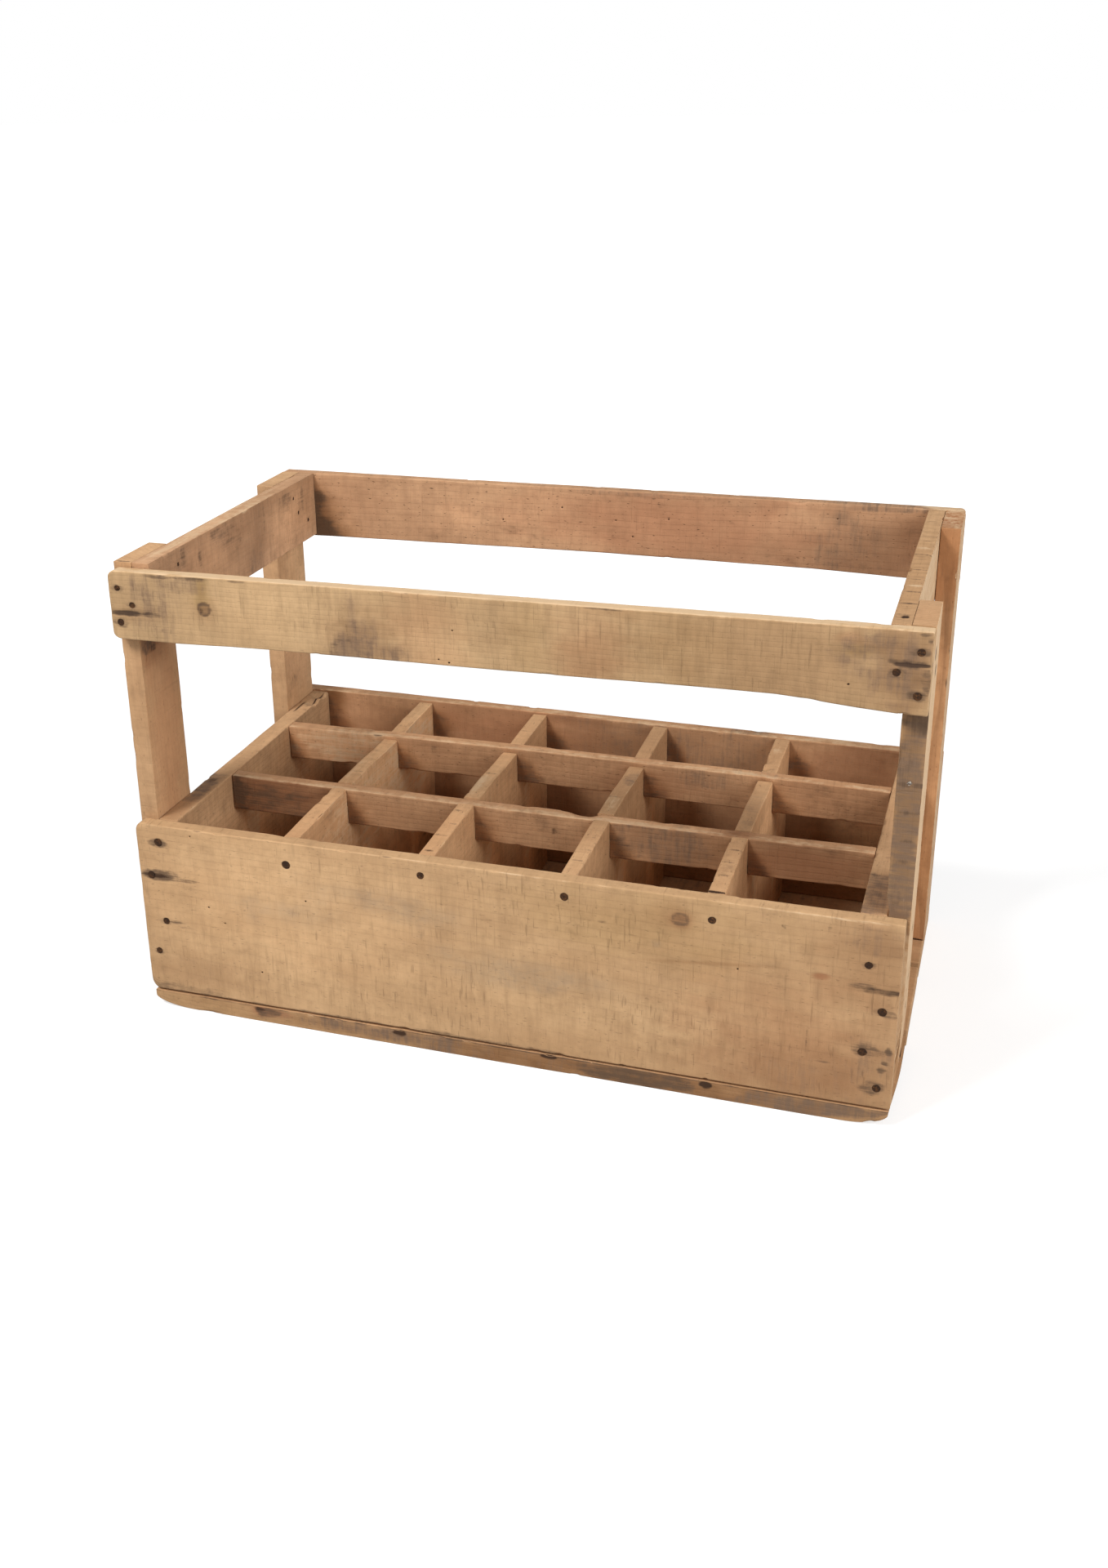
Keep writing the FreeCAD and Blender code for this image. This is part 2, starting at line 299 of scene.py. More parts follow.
# Woods: light and deep colour, then how strong rings, fibres, saw bands, saw ticks, flecks and grime are
WOODS = {
    "honey_wood": ((0.62, 0.39, 0.203), (0.52, 0.31, 0.155), 0.04, 0.18, 0.55, 0.70, 0.32, 0.14),
    "rail_wood": ((0.615, 0.40, 0.21), (0.50, 0.315, 0.16), 0.0, 0.12, 0.85, 0.60, 0.28, 0.14),
    "rose_wood": ((0.61, 0.352, 0.192), (0.45, 0.245, 0.13), 0.04, 0.35, 0.60, 0.40, 0.85, 0.42),
    "brown_wood": ((0.60, 0.35, 0.195), (0.44, 0.245, 0.13), 0.05, 0.35, 0.80, 0.30, 0.35, 0.35),
    "tan_wood": ((0.615, 0.375, 0.198), (0.49, 0.28, 0.14), 0.08, 0.55, 0.50, 0.40, 0.38, 0.24),
    "orange_wood": ((0.62, 0.325, 0.15), (0.44, 0.205, 0.088), 0.30, 1.00, 0.15, 0.10, 0.45, 0.32),
    "cell_wood": ((0.59, 0.335, 0.175), (0.42, 0.22, 0.108), 0.06, 0.50, 0.65, 0.45, 0.50, 0.42),
    "rib_wood": ((0.66, 0.40, 0.207), (0.52, 0.29, 0.143), 0.06, 0.50, 0.60, 0.45, 0.45, 0.36),
}

# Noise in the wood: bumps per metre along the grain and across it, detail and roughness
WOOD_NOISES = {
    "wobble": (5, 22, 2, 0.55),
    "cloud": (7, 16, 4, 0.6),
    "blotch": (38, 52, 4, 0.65),
    "mottle": (150, 190, 3, 0.6),
    "streak": (9, 150, 3, 0.6),
    "fibre": (36, 1000, 3, 0.6),
    "fleck": (260, 800, 1, 0.5),
    "band": (190, 26, 3, 0.65),
    "line": (540, 32, 2, 0.5),
    "tick": (560, 70, 1, 0.5),
    "patch": (16, 26, 2, 0.55),
}

# The grain is cut from another place in each board, this far on for each seed
GRAIN_OFFSETS = (1.7, 0.9, 0.6)

# Growth rings: how close, how their axis wobbles and leans, how far off it lies, and their late wood
RINGS_PER_METRE = 260.0
RING_WOBBLE = 0.012
RING_LEAN_SHARE = 0.015
RING_OFFSETS = (0.21, 0.17)
LATE_START_SHARES = (0.45, 0.9)
LATE_END_SHARES = (1.0, 0.93)

# Saw marks: where thin lines and short ticks begin, in which patches, and what a sawn stain adds to them
LINE_SHARES = (0.58, 0.76)
TICK_SHARES = (0.60, 0.74)
LINE_PATCH_SHARES = (0.40, 0.66)
TICK_PATCH_SHARES = (0.58, 0.38)
SAWN_BAND_SHARE = 0.5
SAWN_TICK_SHARE = 0.8

# Where each noise begins to tone the wood and is full
CLOUD_SHARES = (0.32, 0.68)
TONE_STEP_SHARES = {
    "blotch": (0.35, 0.75),
    "mottle": (0.40, 0.75),
    "streak": (0.40, 0.75),
    "fibre": (0.45, 0.8),
    "band": (0.40, 0.70),
    "fleck": (0.66, 0.76),
}
GRIME_SHARES = (0.58, 0.78)

# Tones in the order in which they are laid: how strong, and how dark beside the deep colour
TONE_SHARES = {
    "blotch": (0.42, 0.80),
    "mottle": (0.28, 0.74),
    "late": (1.0, 0.45),
    "streak": (0.26, 0.72),
    "fibre": (0.42, 0.62),
    "band": (0.42, 0.70),
    "cut": (0.40, 0.48),
    "fleck": (1.0, 0.25),
}

# What tears stains across the grain and along it, and where that begins and is full
ACROSS_WEIGHT_SHARES = {"band": 0.6, "line": 0.3, "mottle": 0.4}
ALONG_WEIGHT_SHARES = {"streak": 0.4, "fibre": 0.4, "mottle": 0.5}
ACROSS_SHARES = (0.48, 0.82)
ALONG_SHARES = (0.46, 0.86)

# Broad stains: how strong; for grey ones how torn, where full and how thin; how mottled smudges are
WARM_SHARE = 0.8
GREY_TEAR_SHARE = 0.28
GREY_FULL_SHARE = 0.6
GREY_THIN_SHARES = (0, 1, 1.0, 0.55)
SMUDGE_SHARES = (0.3, 0.7, 0.62, 0.22)

# Stains torn along the grain, with dirt also laid as painted shade and pale also as painted light: how torn,
# where full and how strong
TORN_SHARES = {
    "pale": (0.50, 0.55, 0.85),
    "dirt": (0.50, 0.65, 0.90),
    "groove": (0.40, 0.55, 0.90),
    "rust": (0.30, 0.55, 1.00),
}

# The wood's surface: roughness over its blotches, shine, the depth of its bumps and what they come from
WOOD_ROUGH_SHARES = (0.2, 0.8, 0.66, 0.88)
WOOD_SHINE_SHARE = 0.25
WOOD_BUMP = 0.00035
BUMP_SHARES = {"fibre": 0.45, "late": -0.2, "band": 0.9, "cut": -0.6, "blotch": 0.4, "mottle": 0.3}

# Steel of the nails: noise (bumps per metre, detail, roughness), colours, and the depth of their bumps
CRUST_NOISE = (700, 4, 0.65)
SPOT_NOISE = (160, 3, 0.55)
WORN_NOISE = (500, 4, 0.65)
DARK_RUST = (0.022, 0.011, 0.006, 1)
LIGHT_RUST = (0.13, 0.055, 0.020, 1)
SPOT_RUST = (0.030, 0.015, 0.009, 1)
BARE_STEEL = (0.52, 0.48, 0.42, 1)
STAINED_STEEL = (0.10, 0.06, 0.04, 1)
RUST_BUMP = 0.0003
STEEL_BUMP = 0.0002
RUST_SHINE_SHARE = 0.2
STEEL_METAL_SHARE = 0.8

# Where the steel's noise begins and is full, with what it then gives where that is not 0 to 1
RUST_SHARES = (0.35, 0.7)
SPOT_SHARES = (0.42, 0.62, 0.0, 0.75)
RUST_ROUGH_SHARES = (0.3, 0.7, 0.75, 0.95)
STEEL_SHARES = (0.45, 0.7)
STEEL_ROUGH_SHARES = (0.3, 0.7, 0.3, 0.7)

# Each board: the way its grain runs, its wood, and the nail groups whose heads show, with their face
BOARDS = {
    "front_rail": (X, "rail_wood", (("front_rail_nails", "front"),)),
    "front_board": (X, "honey_wood", (("front_board_nails", "front"), ("front_divider_nails", "front"))),
    "back_rail": (X, "rose_wood", (("back_rail_nails", "back"),)),
    "left_end_rail": (Y, "brown_wood", (("left_rail_nails", "right"),)),
    "right_end_rail": (Y, "tan_wood", (("right_rail_nails", "left"),)),
    "back_board": (X, "cell_wood", (("back_board_nails", "back"), ("back_divider_nails", "back"))),
    "left_end_board": (Y, "tan_wood", (("long_divider_nails", "left"),)),
    "right_end_board": (Y, "tan_wood", (("long_divider_nails", "right"),)),
    "front_left_post": (Z, "tan_wood", (("left_board_nails", "left"),)),
    "back_left_post": (Z, "tan_wood", (("left_board_nails", "left"),)),
    "front_right_post": (Z, "tan_wood", (("right_board_nails", "right"), ("stray_nail", "front"))),
    "back_right_post": (Z, "orange_wood", (("right_board_nails", "right"),)),
}
BOARDS.update({node: (X, "tan_wood", (("floor_nails", "under"),)) for node in FLOOR_BOARDS})
BOARDS.update({node: (X, "cell_wood", ()) for node in LONG_DIVIDERS})
BOARDS.update({node: (Y, "rib_wood", ()) for node in CROSS_DIVIDERS})
SEED_STEP = 3

# Boards with a finer mesh, and boards with sharper edges
FINE_BOARDS = ("front_rail", "front_board")
TIGHT_BOARDS = (
    "left_end_rail", "right_end_rail", "front_left_post", "front_right_post", "back_left_post",
    "back_right_post", "floor_board_front",
)

# Worm holes and pin pricks: places along and up the front face, as shares of it
DOT_SHARES = {
    "front_board": (
        (0.082, 0.96), (0.1006, 0.553), (0.123, 0.47), (0.1725, 0.205), (0.244, 0.675), (0.8097, 0.65),
    ),
    "front_rail": ((0.456, 0.52), (0.438, 0.08), (0.451, 0.05), (0.913, 0.28)),
    "back_rail": ((0.832, 0.78), (0.52, 0.55), (0.597, 0.62), (0.545, 0.30), (0.44, 0.70), (0.35, 0.45)),
}

# Painted shade at the left of each cell, where the cell's left wall shades the face behind it: how strong
# each kind is in it, the cells' left ends, and the wedge in each, as its middle (along from that end, and
# up), its half sizes and its lean
PAINTED_SHADE_STRENGTHS = {"umber": 1.0, "olive": 0.9, "rose": 0.5, "dirt": 0.5}
CELL_LEFT_SHARES = (0.0, 0.198, 0.407, 0.618, 0.823)
BACK_LEFT_SHARES = (0.05, 0.228, 0.415, 0.604, 0.787)
LONG_WEDGE_SHARES = (0.016, 0.0, 0.030, 0.85)
BACK_WEDGE_SHARES = (0.016, 0.78, 0.024, 0.18)
WEDGE_LEAN_SHARE = -0.5
PAINTED_SHADE_WEDGES = {
    "long_divider_front": (CELL_LEFT_SHARES, LONG_WEDGE_SHARES),
    "long_divider_back": (CELL_LEFT_SHARES, LONG_WEDGE_SHARES),
    "back_board": (BACK_LEFT_SHARES, BACK_WEDGE_SHARES),
}

# Stains of each kind, in percent of the face: middle along and up it, half sizes, strength, and for some
# the slope along the face and the lean up it. Bright rows are painted light, and the rows noted below are
# painted light and shade
PERCENT = 100
FLOOR_TOP_PERCENT_SHARES = {
    "grey": [(50, 50, 46.5, 120, 30)], "umber": [(50, 50, 55, 300, 15)], "bright": [(50, 50, 60, 150, 45)],
}
# On the right sides of the left end board and the cross dividers, the bright and pale rows are painted
# patches of light, and the umber row is painted shade, darker towards the bottom of the cells
CELL_SIDE_PERCENT_SHARES = {
    "drip": [(22, 22, 18, 32, 45), (60, 20, 10, 30, 40), (92, 22, 8, 32, 45)],
    "bright": [(45, 42, 8, 45, 100), (80, 40, 6, 45, 90)],
    "pale": [(43, 48, 5, 40, 55), (79, 50, 3, 45, 50)],
    "umber": [(50, 12, 90, 40, 20)], "saw": [(50, 60, 90, 80, 60)],
}
SHARED_MARKS = (
    ("top", FLOOR_BOARDS, FLOOR_TOP_PERCENT_SHARES),
    ("right", ("left_end_board", *CROSS_DIVIDERS), CELL_SIDE_PERCENT_SHARES),
)
MARK_PERCENT_SHARES = {
    ("front_board", "front"): {
        "dirt": [
            (3.4, 89.5, 1.6, 2.8, 65), (4.2, 43.2, 2.6, 1.8, 60), (6.2, 40.5, 1.8, 1.2, 35),
            (2, 70.2, 3.4, 3.4, 80), (5.4, 69, 3.4, 1.2, 55), (7.3, 65, 0.12, 33, 32),
            (18.1, 17, 0.13, 5, 55), (21.4, 18.5, 0.13, 4.5, 55), (25.15, 16, 0.13, 5, 50),
            (28.7, 18, 0.13, 4, 50), (31, 10, 0.13, 5, 40), (14.1, 80, 0.15, 5, 40), (6, 2, 8, 4.5, 42),
            (30, 0, 40, 2.2, 60), (73.9, 87.2, 0.8, 2.6, 42), (95.6, 65.5, 1.8, 2.2, 60),
            (98.5, 52.5, 2, 2.6, 65), (96.4, 31, 2.2, 4.5, 62), (97.6, 11, 1.8, 5, 70),
            (99.25, 33, 0.5, 2.4, 80), (98.5, 21.5, 0.8, 2, 80), (98.9, 25.5, 0.6, 1.6, 70),
            (89.5, 32.5, 0.18, 13, 50), (64.2, 80, 0.8, 0.7, 50), (86.2, 91, 0.4, 1, 60, -70),
            (91.5, 93, 0.22, 3.5, 55), (91.5, 21.5, 1.4, 1.2, 42),
        ],
        "grey": [
            (8.8, 16, 6.5, 11.5, 17), (0.5, 50, 1, 50, 22), (97, 90, 4, 10, 32), (97.5, 28, 2.8, 20, 30),
            (90, 10, 12, 16, 24),
        ],
        "umber": [
            (9, 13, 11, 15, 28), (73.7, 88.5, 3.5, 9, 35), (76.7, 65.5, 10, 1.1, 40, 10),
            (95.5, 64.5, 3.5, 4, 50), (97.2, 23, 2.4, 11, 40), (97.2, 88, 4.5, 15, 55),
            (90.8, 68, 1.4, 2.2, 80), (96.2, 72, 5.5, 34, 45), (88, 10, 18, 30, 56),
        ],
        "smudge": [
            (71, 72, 0.8, 2.4, 50), (22, 60, 8, 10, 50), (36, 72, 11, 8, 50, -10),
            (53, 44, 12, 9, 55, -8),
        ],
        "rust": [(1.8, 70.2, 2.4, 1.4, 62)], "burl": [(73.9, 87.2, 1.65, 5.2, 80)],
        "warm": [(90.8, 68, 1.1, 2, 60)], "groove": [(97.8, 63.5, 3, 1.8, 62)],
        "pale": [(95.5, 99.3, 4.5, 1, 50), (90, 99.7, 10, 1, 45), (55, 100, 6, 1.2, 50)],
        "chip": [(97, 100, 1.8, 2.5, 25)],
        "saw": [(80, 38, 21, 40, 100), (32, 20, 33, 26, 80), (45, 75, 25, 30, 45)],
        "rose": [(88, 30, 14, 40, 35)], "olive": [(70, 80, 16, 22, 50)], "bright": [(20, 62, 24, 45, 31)],
    },
    ("front_rail", "front"): {
        "dirt": [
            (4.5, 36.5, 3.4, 4.5, 70), (9.5, 95.5, 5, 3.5, 62), (18, 96.5, 1.8, 3, 65),
            (5.5, 25, 0.13, 22, 50), (6.3, 30, 0.13, 25, 42), (7.2, 22, 0.13, 20, 50),
            (8.3, 28, 0.12, 22, 40), (28.3, 56, 0.6, 9, 32), (63, 97.5, 2.8, 2.5, 55),
            (98, 59.5, 3.2, 6, 70), (95.75, 61.5, 1.1, 5.5, 90), (91.3, 74.5, 1.1, 1.4, 40),
            (99, 95, 1.2, 4.5, 85), (99.55, 90, 0.45, 7.5, 65), (99.6, 45, 0.7, 26, 55),
        ],
        "umber": [
            (3, 38, 4.5, 12, 50), (13.1, 80, 0.7, 20, 40), (13.4, 47, 2, 24, 35), (33.8, 28, 5.5, 50, 62),
            (96.5, 60, 5, 22, 50), (92.2, 70, 2.2, 9, 62), (84, 65, 1.6, 4.5, 45),
            (97.2, 65, 5.8, 75, 85), (80, 50, 26, 120, 47),
        ],
        "blot": [
            (6, 50, 4.4, 60, 40), (4.5, 68, 1.6, 26, 52), (9.2, 86, 5.8, 18, 44),
            (32.75, 8, 3.6, 33, 80, 0, 36), (34.1, 40, 2.6, 26, 52), (33, 76, 1.6, 34, 32),
            (36.8, 6, 4, 26, 50),
        ],
        "groove": [(2.4, 37.5, 3.2, 4.8, 85), (98, 59, 3.2, 3.2, 100)],
        "olive": [(13, 75, 1.2, 30, 90), (92.4, 70, 2, 8, 80), (55, 50, 3, 90, 30), (72, 50, 7, 90, 30)],
        "knot": [(13.27, 51.8, 1.05, 11.8, 85)], "rust": [(12.85, 50, 0.35, 4.5, 50)],
        "drip": [(30.4, 12, 1, 26, 55, 0, 36), (32.4, 20, 0.8, 22, 42)],
        "rose": [(91.2, 88, 1.6, 9, 40), (62, 40, 5, 60, 40), (42, 50, 5, 90, 40)],
        "grey": [(95.5, 66, 5.5, 55, 45)], "bright": [(20, 45, 9, 60, 14)],
        "saw": [(62, 50, 36, 120, 55)], "pale": [(50, 100, 50, 2.5, 55)],
    },
    # The bright and pale rows are painted highlight along the rail's top
    ("front_rail", "top"): {"bright": [(50, 50, 80, 150, 34)], "pale": [(50, 40, 80, 120, 75)]},
    ("front_rail", "right"): {"rust": [(25, 60, 25, 6, 80), (35, 52, 20, 4, 60)]},
    ("back_rail", "front"): {
        # At the left end, the first umber row, the olive row and the dirt row are painted shadow of the left
        # end rail
        "umber": [(6.2, 0, 6, 110, 100, 0, -50), (87, 50, 9, 80, 30), (93, 60, 6, 50, 35)],
        "olive": [(6.2, 0, 5.6, 110, 90, 0, -50)], "dirt": [(5.6, 0, 4.4, 100, 85, 0, -50)],
        "blot": [(83.5, 80, 2.6, 16, 55), (83, 22, 3.2, 26, 50)],
        "grey": [(86, 50, 7, 45, 34), (55, 96, 16, 6, 35), (90, 97, 8, 6, 50)],
        "bright": [(28, 42, 4.5, 24, 31)], "saw": [(28, 45, 5, 30, 80)], "rose": [(60, 50, 25, 70, 60)],
    },
    ("back_rail", "top"): {
        "dirt": [(62, 30, 6, 40, 35)], "grey": [(88, 50, 10, 70, 50)], "bright": [(15, 50, 30, 90, 28)],
        "pale": [(98.5, 50, 4, 100, 70)],
    },
    ("left_end_rail", "right"): {
        "drip": [
            (17.5, 86, 1.6, 22, 60), (12.5, 95, 3.5, 14, 35), (26.2, 68, 1.2, 18, 55),
            (42, 80, 8, 30, 42), (36, 92, 5, 14, 48), (49, 55, 3, 32, 42), (65.5, 78, 1.5, 35, 48),
            (80, 82, 6, 20, 50), (91, 70, 3, 25, 50),
        ],
        "umber": [
            (30, 80, 14, 35, 20), (60, 50, 6, 120, 16), (44, 84, 13, 30, 26), (45, 95, 40, 12, 25),
            (20, 25, 5, 50, 35),
        ],
        "blot": [(61.5, 50, 3.4, 80, 30), (58, 15, 6, 30, 40)],
        "bright": [(33, 45, 14, 70, 57), (80, 45, 14, 80, 57)], "saw": [(60, 50, 60, 100, 80)],
    },
    ("left_end_rail", "top"): {"bright": [(50, 50, 90, 80, 45)], "pale": [(50, 40, 80, 50, 50)]},
    ("right_end_rail", "top"): {
        "dirt": [
            (40, 6.5, 50, 1.5, 50), (50, 15, 60, 0.6, 65), (50, 24, 60, 0.8, 65), (50, 34, 60, 0.6, 60),
            (50, 42, 60, 0.6, 60), (40, 55, 60, 1, 65), (60, 68, 50, 0.6, 60),
        ],
        "rust": [(60, 5, 20, 1.2, 85)], "pale": [(50, 29, 60, 1.2, 60), (50, 61, 60, 1.4, 60)],
        "saw": [(50, 50, 80, 60, 100)], "olive": [(50, 50, 80, 80, 25)], "bright": [(50, 50, 80, 70, 24)],
    },
    ("right_end_rail", "right"): {
        "bright": [(50, 50, 80, 80, 30)], "pale": [(50, 60, 80, 80, 65)], "umber": [(30, 30, 20, 50, 30)],
        "saw": [(50, 50, 80, 90, 90)],
    },
    ("front_left_post", "right"): {
        # Just under the front rail, the dirt and umber rows near 80 percent up are painted shadow of the
        # rail
        "dirt": [(40, 81.2, 45, 2.4, 68), (55, 77.5, 12, 1.2, 50)], "rust": [(35, 79.5, 14, 1, 50)],
        "umber": [(38, 80.5, 42, 5, 80)], "warm": [(50, 60, 50, 25, 45)],
        "bright": [(50, 60, 60, 25, 55)],
    },
    ("front_left_post", "front"): {"dirt": [(10, 60, 10, 5, 30)], "bright": [(40, 70, 50, 20, 14)]},
    ("front_left_post", "top"): {"bright": [(50, 50, 90, 90, 34)], "dirt": [(50, 3, 60, 3, 60)]},
    ("back_left_post", "front"): {"bright": [(50, 70, 60, 25, 28)]},
    ("back_left_post", "right"): {
        "dirt": [(30, 48, 20, 2, 40)], "bright": [(50, 55, 80, 20, 50), (50, 62, 70, 20, 75)],
        "warm": [(50, 58, 60, 16, 22)],
    },
    ("back_left_post", "top"): {"bright": [(50, 50, 90, 90, 34)]},
    ("front_right_post", "front"): {
        # The first dirt row, just under the front rail, is painted shadow of the rail
        "dirt": [
            (50, 81.5, 80, 3, 75), (30, 74, 50, 8, 40), (20, 47, 40, 5, 40), (50, 69, 70, 0.6, 70),
            (40, 63.5, 60, 0.5, 70), (60, 57.5, 50, 0.7, 70), (40, 53, 50, 0.5, 70),
        ],
        "grey": [(50, 62, 90, 30, 72)], "olive": [(50, 62, 90, 40, 100)], "umber": [(50, 62, 80, 36, 58)],
        "saw": [(50, 60, 80, 50, 80)], "bright": [(90, 20, 50, 20, 45)], "pale": [(90, 20, 40, 22, 60)],
    },
    ("front_right_post", "right"): {
        "bright": [(50, 50, 90, 90, 55)], "olive": [(50, 50, 90, 90, 30)], "pale": [(50, 60, 80, 80, 70)],
        "umber": [(30, 20, 50, 12, 35)], "grey": [(60, 55, 25, 16, 30)], "saw": [(50, 50, 80, 90, 90)],
        "rust": [(32, 93.5, 9, 1.4, 100), (62, 88.5, 9, 1.3, 80)],
    },
    ("front_right_post", "top"): {
        "saw": [(50, 50, 80, 80, 90)], "rose": [(50, 50, 80, 80, 15)], "bright": [(50, 50, 80, 80, 23)],
    },
    ("back_right_post", "front"): {
        "umber": [(30, 30, 15, 30, 35), (70, 70, 12, 25, 30)], "dirt": [(25, 90, 6, 2, 50)],
        "rust": [(50, 0, 90, 0.5, 70)],
    },
    ("back_right_post", "top"): {"pale": [(50, 50, 90, 90, 45)], "rose": [(40, 50, 60, 50, 60)]},
    ("back_right_post", "right"): {
        "pale": [(50, 50, 90, 90, 62)], "umber": [(60, 25, 50, 14, 35)], "grey": [(40, 70, 25, 15, 30)],
        "saw": [(50, 50, 80, 90, 90)],
    },
    ("right_end_board", "top"): {
        "grey": [(50, 10, 70, 14, 62)],
        "dirt": [(60, 30, 40, 1.2, 55), (30, 20, 40, 1.2, 55), (50, 10, 50, 4, 40)],
        "umber": [(50, 10, 80, 18, 50)], "bright": [(50, 55, 80, 30, 40)], "warm": [(50, 50, 60, 20, 15)],
    },
    ("right_end_board", "left"): {"umber": [(50, 15, 90, 45, 60)], "grey": [(10, 90, 8, 12, 60)]},
    ("left_end_board", "top"): {
        "rust": [(40, 27, 25, 1.8, 60), (35, 86, 8, 6, 80), (75, 94, 8, 5, 80)],
        "dirt": [(50, 90, 60, 6, 50)], "pale": [(50, 90, 12, 8, 60)], "grey": [(40, 22, 50, 12, 70)],
        "bright": [(50, 60, 90, 30, 28)], "chip": [(90, 90, 40, 2.5, 50), (70, 96, 60, 2, 50)],
        "umber": [(50, 15, 70, 20, 30)],
    },
    ("left_end_board", "right"): {"bright": [(25, 45, 30, 40, 90)]},
    ("back_board", "front"): {
        # The umber and olive rows at 6.2 percent along are painted shade in the first cell's left corner
        "umber": [
            (90, 40, 9, 32, 100), (6.2, 90, 1.8, 20, 100), (50, 80, 9, 50, 35), (90, 80, 9, 50, 35),
            (50, 15, 90, 50, 50),
        ],
        "olive": [(90, 40, 9, 32, 80), (6.2, 90, 1.8, 20, 90)], "bright": [(14.5, 80, 7.5, 40, 57)],
        "warm": [(12, 78, 7, 22, 30), (88, 80, 8, 30, 45)], "grey": [(62, 85, 20, 25, 35)],
        "rose": [(35, 85, 15, 25, 60)],
    },
    ("back_board", "top"): {
        "bright": [(50, 50, 80, 150, 31)], "pale": [(50, 20, 80, 50, 45), (86, 50, 6, 60, 50)],
        "grey": [(72, 50, 4, 60, 60)], "dirt": [(20, 20, 6, 40, 35)],
    },
    ("long_divider_front", "front"): {
        # In the first cell, the umber, warm and dirt rows up to 12 percent along are painted shadow of the
        # front left post
        "umber": [(7, 50, 12, 120, 100), (71, 50, 9, 120, 55), (91, 50, 9, 120, 35)],
        "warm": [(6, 50, 10, 90, 30), (90, 40, 9, 60, 45)],
        "dirt": [(5, 30, 11, 90, 55), (1.2, 40, 2.2, 80, 80), (36, 45, 0.6, 10, 30)],
        "grey": [(71, 60, 8, 70, 50)], "rust": [(53.2, 55, 0.6, 12, 50)],
    },
    ("long_divider_front", "top"): {
        "bright": [(50, 50, 80, 150, 34)], "pale": [(50, 15, 80, 50, 45)],
        "chip": [(57.5, 100, 2.2, 75, 65)], "dirt": [(72, 60, 2, 40, 40), (80, 50, 2.5, 70, 40)],
        "umber": [(80, 50, 3.5, 90, 100)],
    },
    ("long_divider_back", "front"): {
        # In the first cell, the bright and pale rows at 10 percent along are painted light
        "bright": [(10, 50, 11, 120, 95)],
        "umber": [(25, 85, 10, 30, 30), (55, 50, 45, 90, 10), (91, 50, 9, 120, 45)],
        "dirt": [(26.2, 68, 0.7, 25, 50)], "warm": [(65, 40, 12, 50, 25)], "grey": [(72, 70, 5, 40, 40)],
        "pale": [(10, 50, 10, 110, 45)],
    },
    ("long_divider_back", "top"): {
        "bright": [(50, 50, 80, 150, 34)], "pale": [(50, 15, 80, 50, 45)], "dirt": [(40, 50, 3, 50, 30)],
        "grey": [(80, 50, 5, 60, 40)],
    },
    ("cross_divider_1", "right"): {
        # The bright and pale rows are painted light on this lit side
        "bright": [(50, 75, 80, 60, 57), (85, 85, 20, 50, 100)],
        "pale": [(80, 85, 22, 40, 55), (50, 80, 60, 40, 40)],
    },
    ("cross_divider_1", "top"): {
        "dirt": [
            (50, 8, 30, 0.6, 50), (40, 21, 50, 0.5, 55), (60, 44, 40, 0.5, 50), (40, 80, 40, 0.6, 50),
        ],
        "bright": [(50, 50, 90, 90, 28)], "pale": [(40, 40, 40, 20, 30)],
    },
    ("cross_divider_2", "right"): {"bright": [(50, 75, 80, 60, 34)]},
    ("cross_divider_2", "top"): {
        "dirt": [
            (50, 12, 50, 0.5, 50), (60, 19, 40, 0.4, 50), (40, 27, 40, 0.4, 60), (50, 53, 50, 0.6, 60),
            (50, 86, 40, 0.8, 50),
        ],
        "bright": [(50, 50, 90, 90, 28)], "rust": [(50, 3, 35, 1, 60)], "pale": [(40, 45, 50, 8, 50)],
    },
    ("cross_divider_3", "right"): {"bright": [(50, 75, 80, 60, 11)]},
    ("cross_divider_3", "top"): {
        "dirt": [
            (50, 14, 50, 0.4, 50), (50, 21, 40, 0.4, 45), (50, 8, 40, 0.5, 60), (40, 47, 50, 0.6, 60),
            (50, 90, 50, 0.6, 50),
        ],
        "grey": [(60, 60, 50, 5, 50)], "pale": [(50, 42, 50, 8, 50)],
    },
    ("cross_divider_4", "right"): {"bright": [(50, 50, 80, 90, 65)]},
    ("cross_divider_4", "top"): {
        "dirt": [
            (60, 78, 30, 1.2, 60), (50, 10, 50, 0.5, 60), (40, 17, 40, 0.5, 60), (50, 24, 50, 0.4, 60),
        ],
        "chip": [(0, 84, 45, 2.2, 70), (20, 78, 30, 1.2, 40), (10, 30, 35, 1.4, 50)],
        "rust": [(50, 1.2, 70, 0.8, 80)], "pale": [(50, 92, 50, 5, 50)],
        # The grey rows across the middle of the top are painted shadow of the front rail
        "grey": [(60, 42, 50, 10, 25), (50, 55, 50, 8, 25)],
    },
    ("floor_board_front", "front"): {
        "rust": [
            (16, 80, 1.2, 24, 62), (36.5, 80, 1, 22, 90), (57.1, 88, 1.2, 15, 90), (77.7, 78, 1, 25, 90),
        ],
        "warm": [(16.5, 72, 2.2, 42, 100), (18.8, 68, 2.4, 30, 70)],
        "dirt": [(17, 66, 2.6, 40, 90), (68, 50, 9, 60, 72), (50, 97, 60, 7, 75)],
        "grey": [(33, 55, 14, 60, 62), (50, 50, 50, 100, 25), (90, 50, 10, 50, 70)],
        "olive": [(50, 50, 90, 150, 60)], "umber": [(64, 50, 42, 150, 95), (30, 50, 16, 120, 62)],
    },
}


def lattice(cell, seed):
    """Repeatable values from -1 to 1 at whole-number points."""
    h = (cell @ np.array(HASH_FACTORS) + seed * HASH_MIX) & HASH_BITS
    h = ((h ^ (h >> HASH_SHIFTS[0])) * HASH_MIX) & HASH_BITS
    h = h ^ (h >> HASH_SHIFTS[1])
    return h / HASH_HALF - 1.0


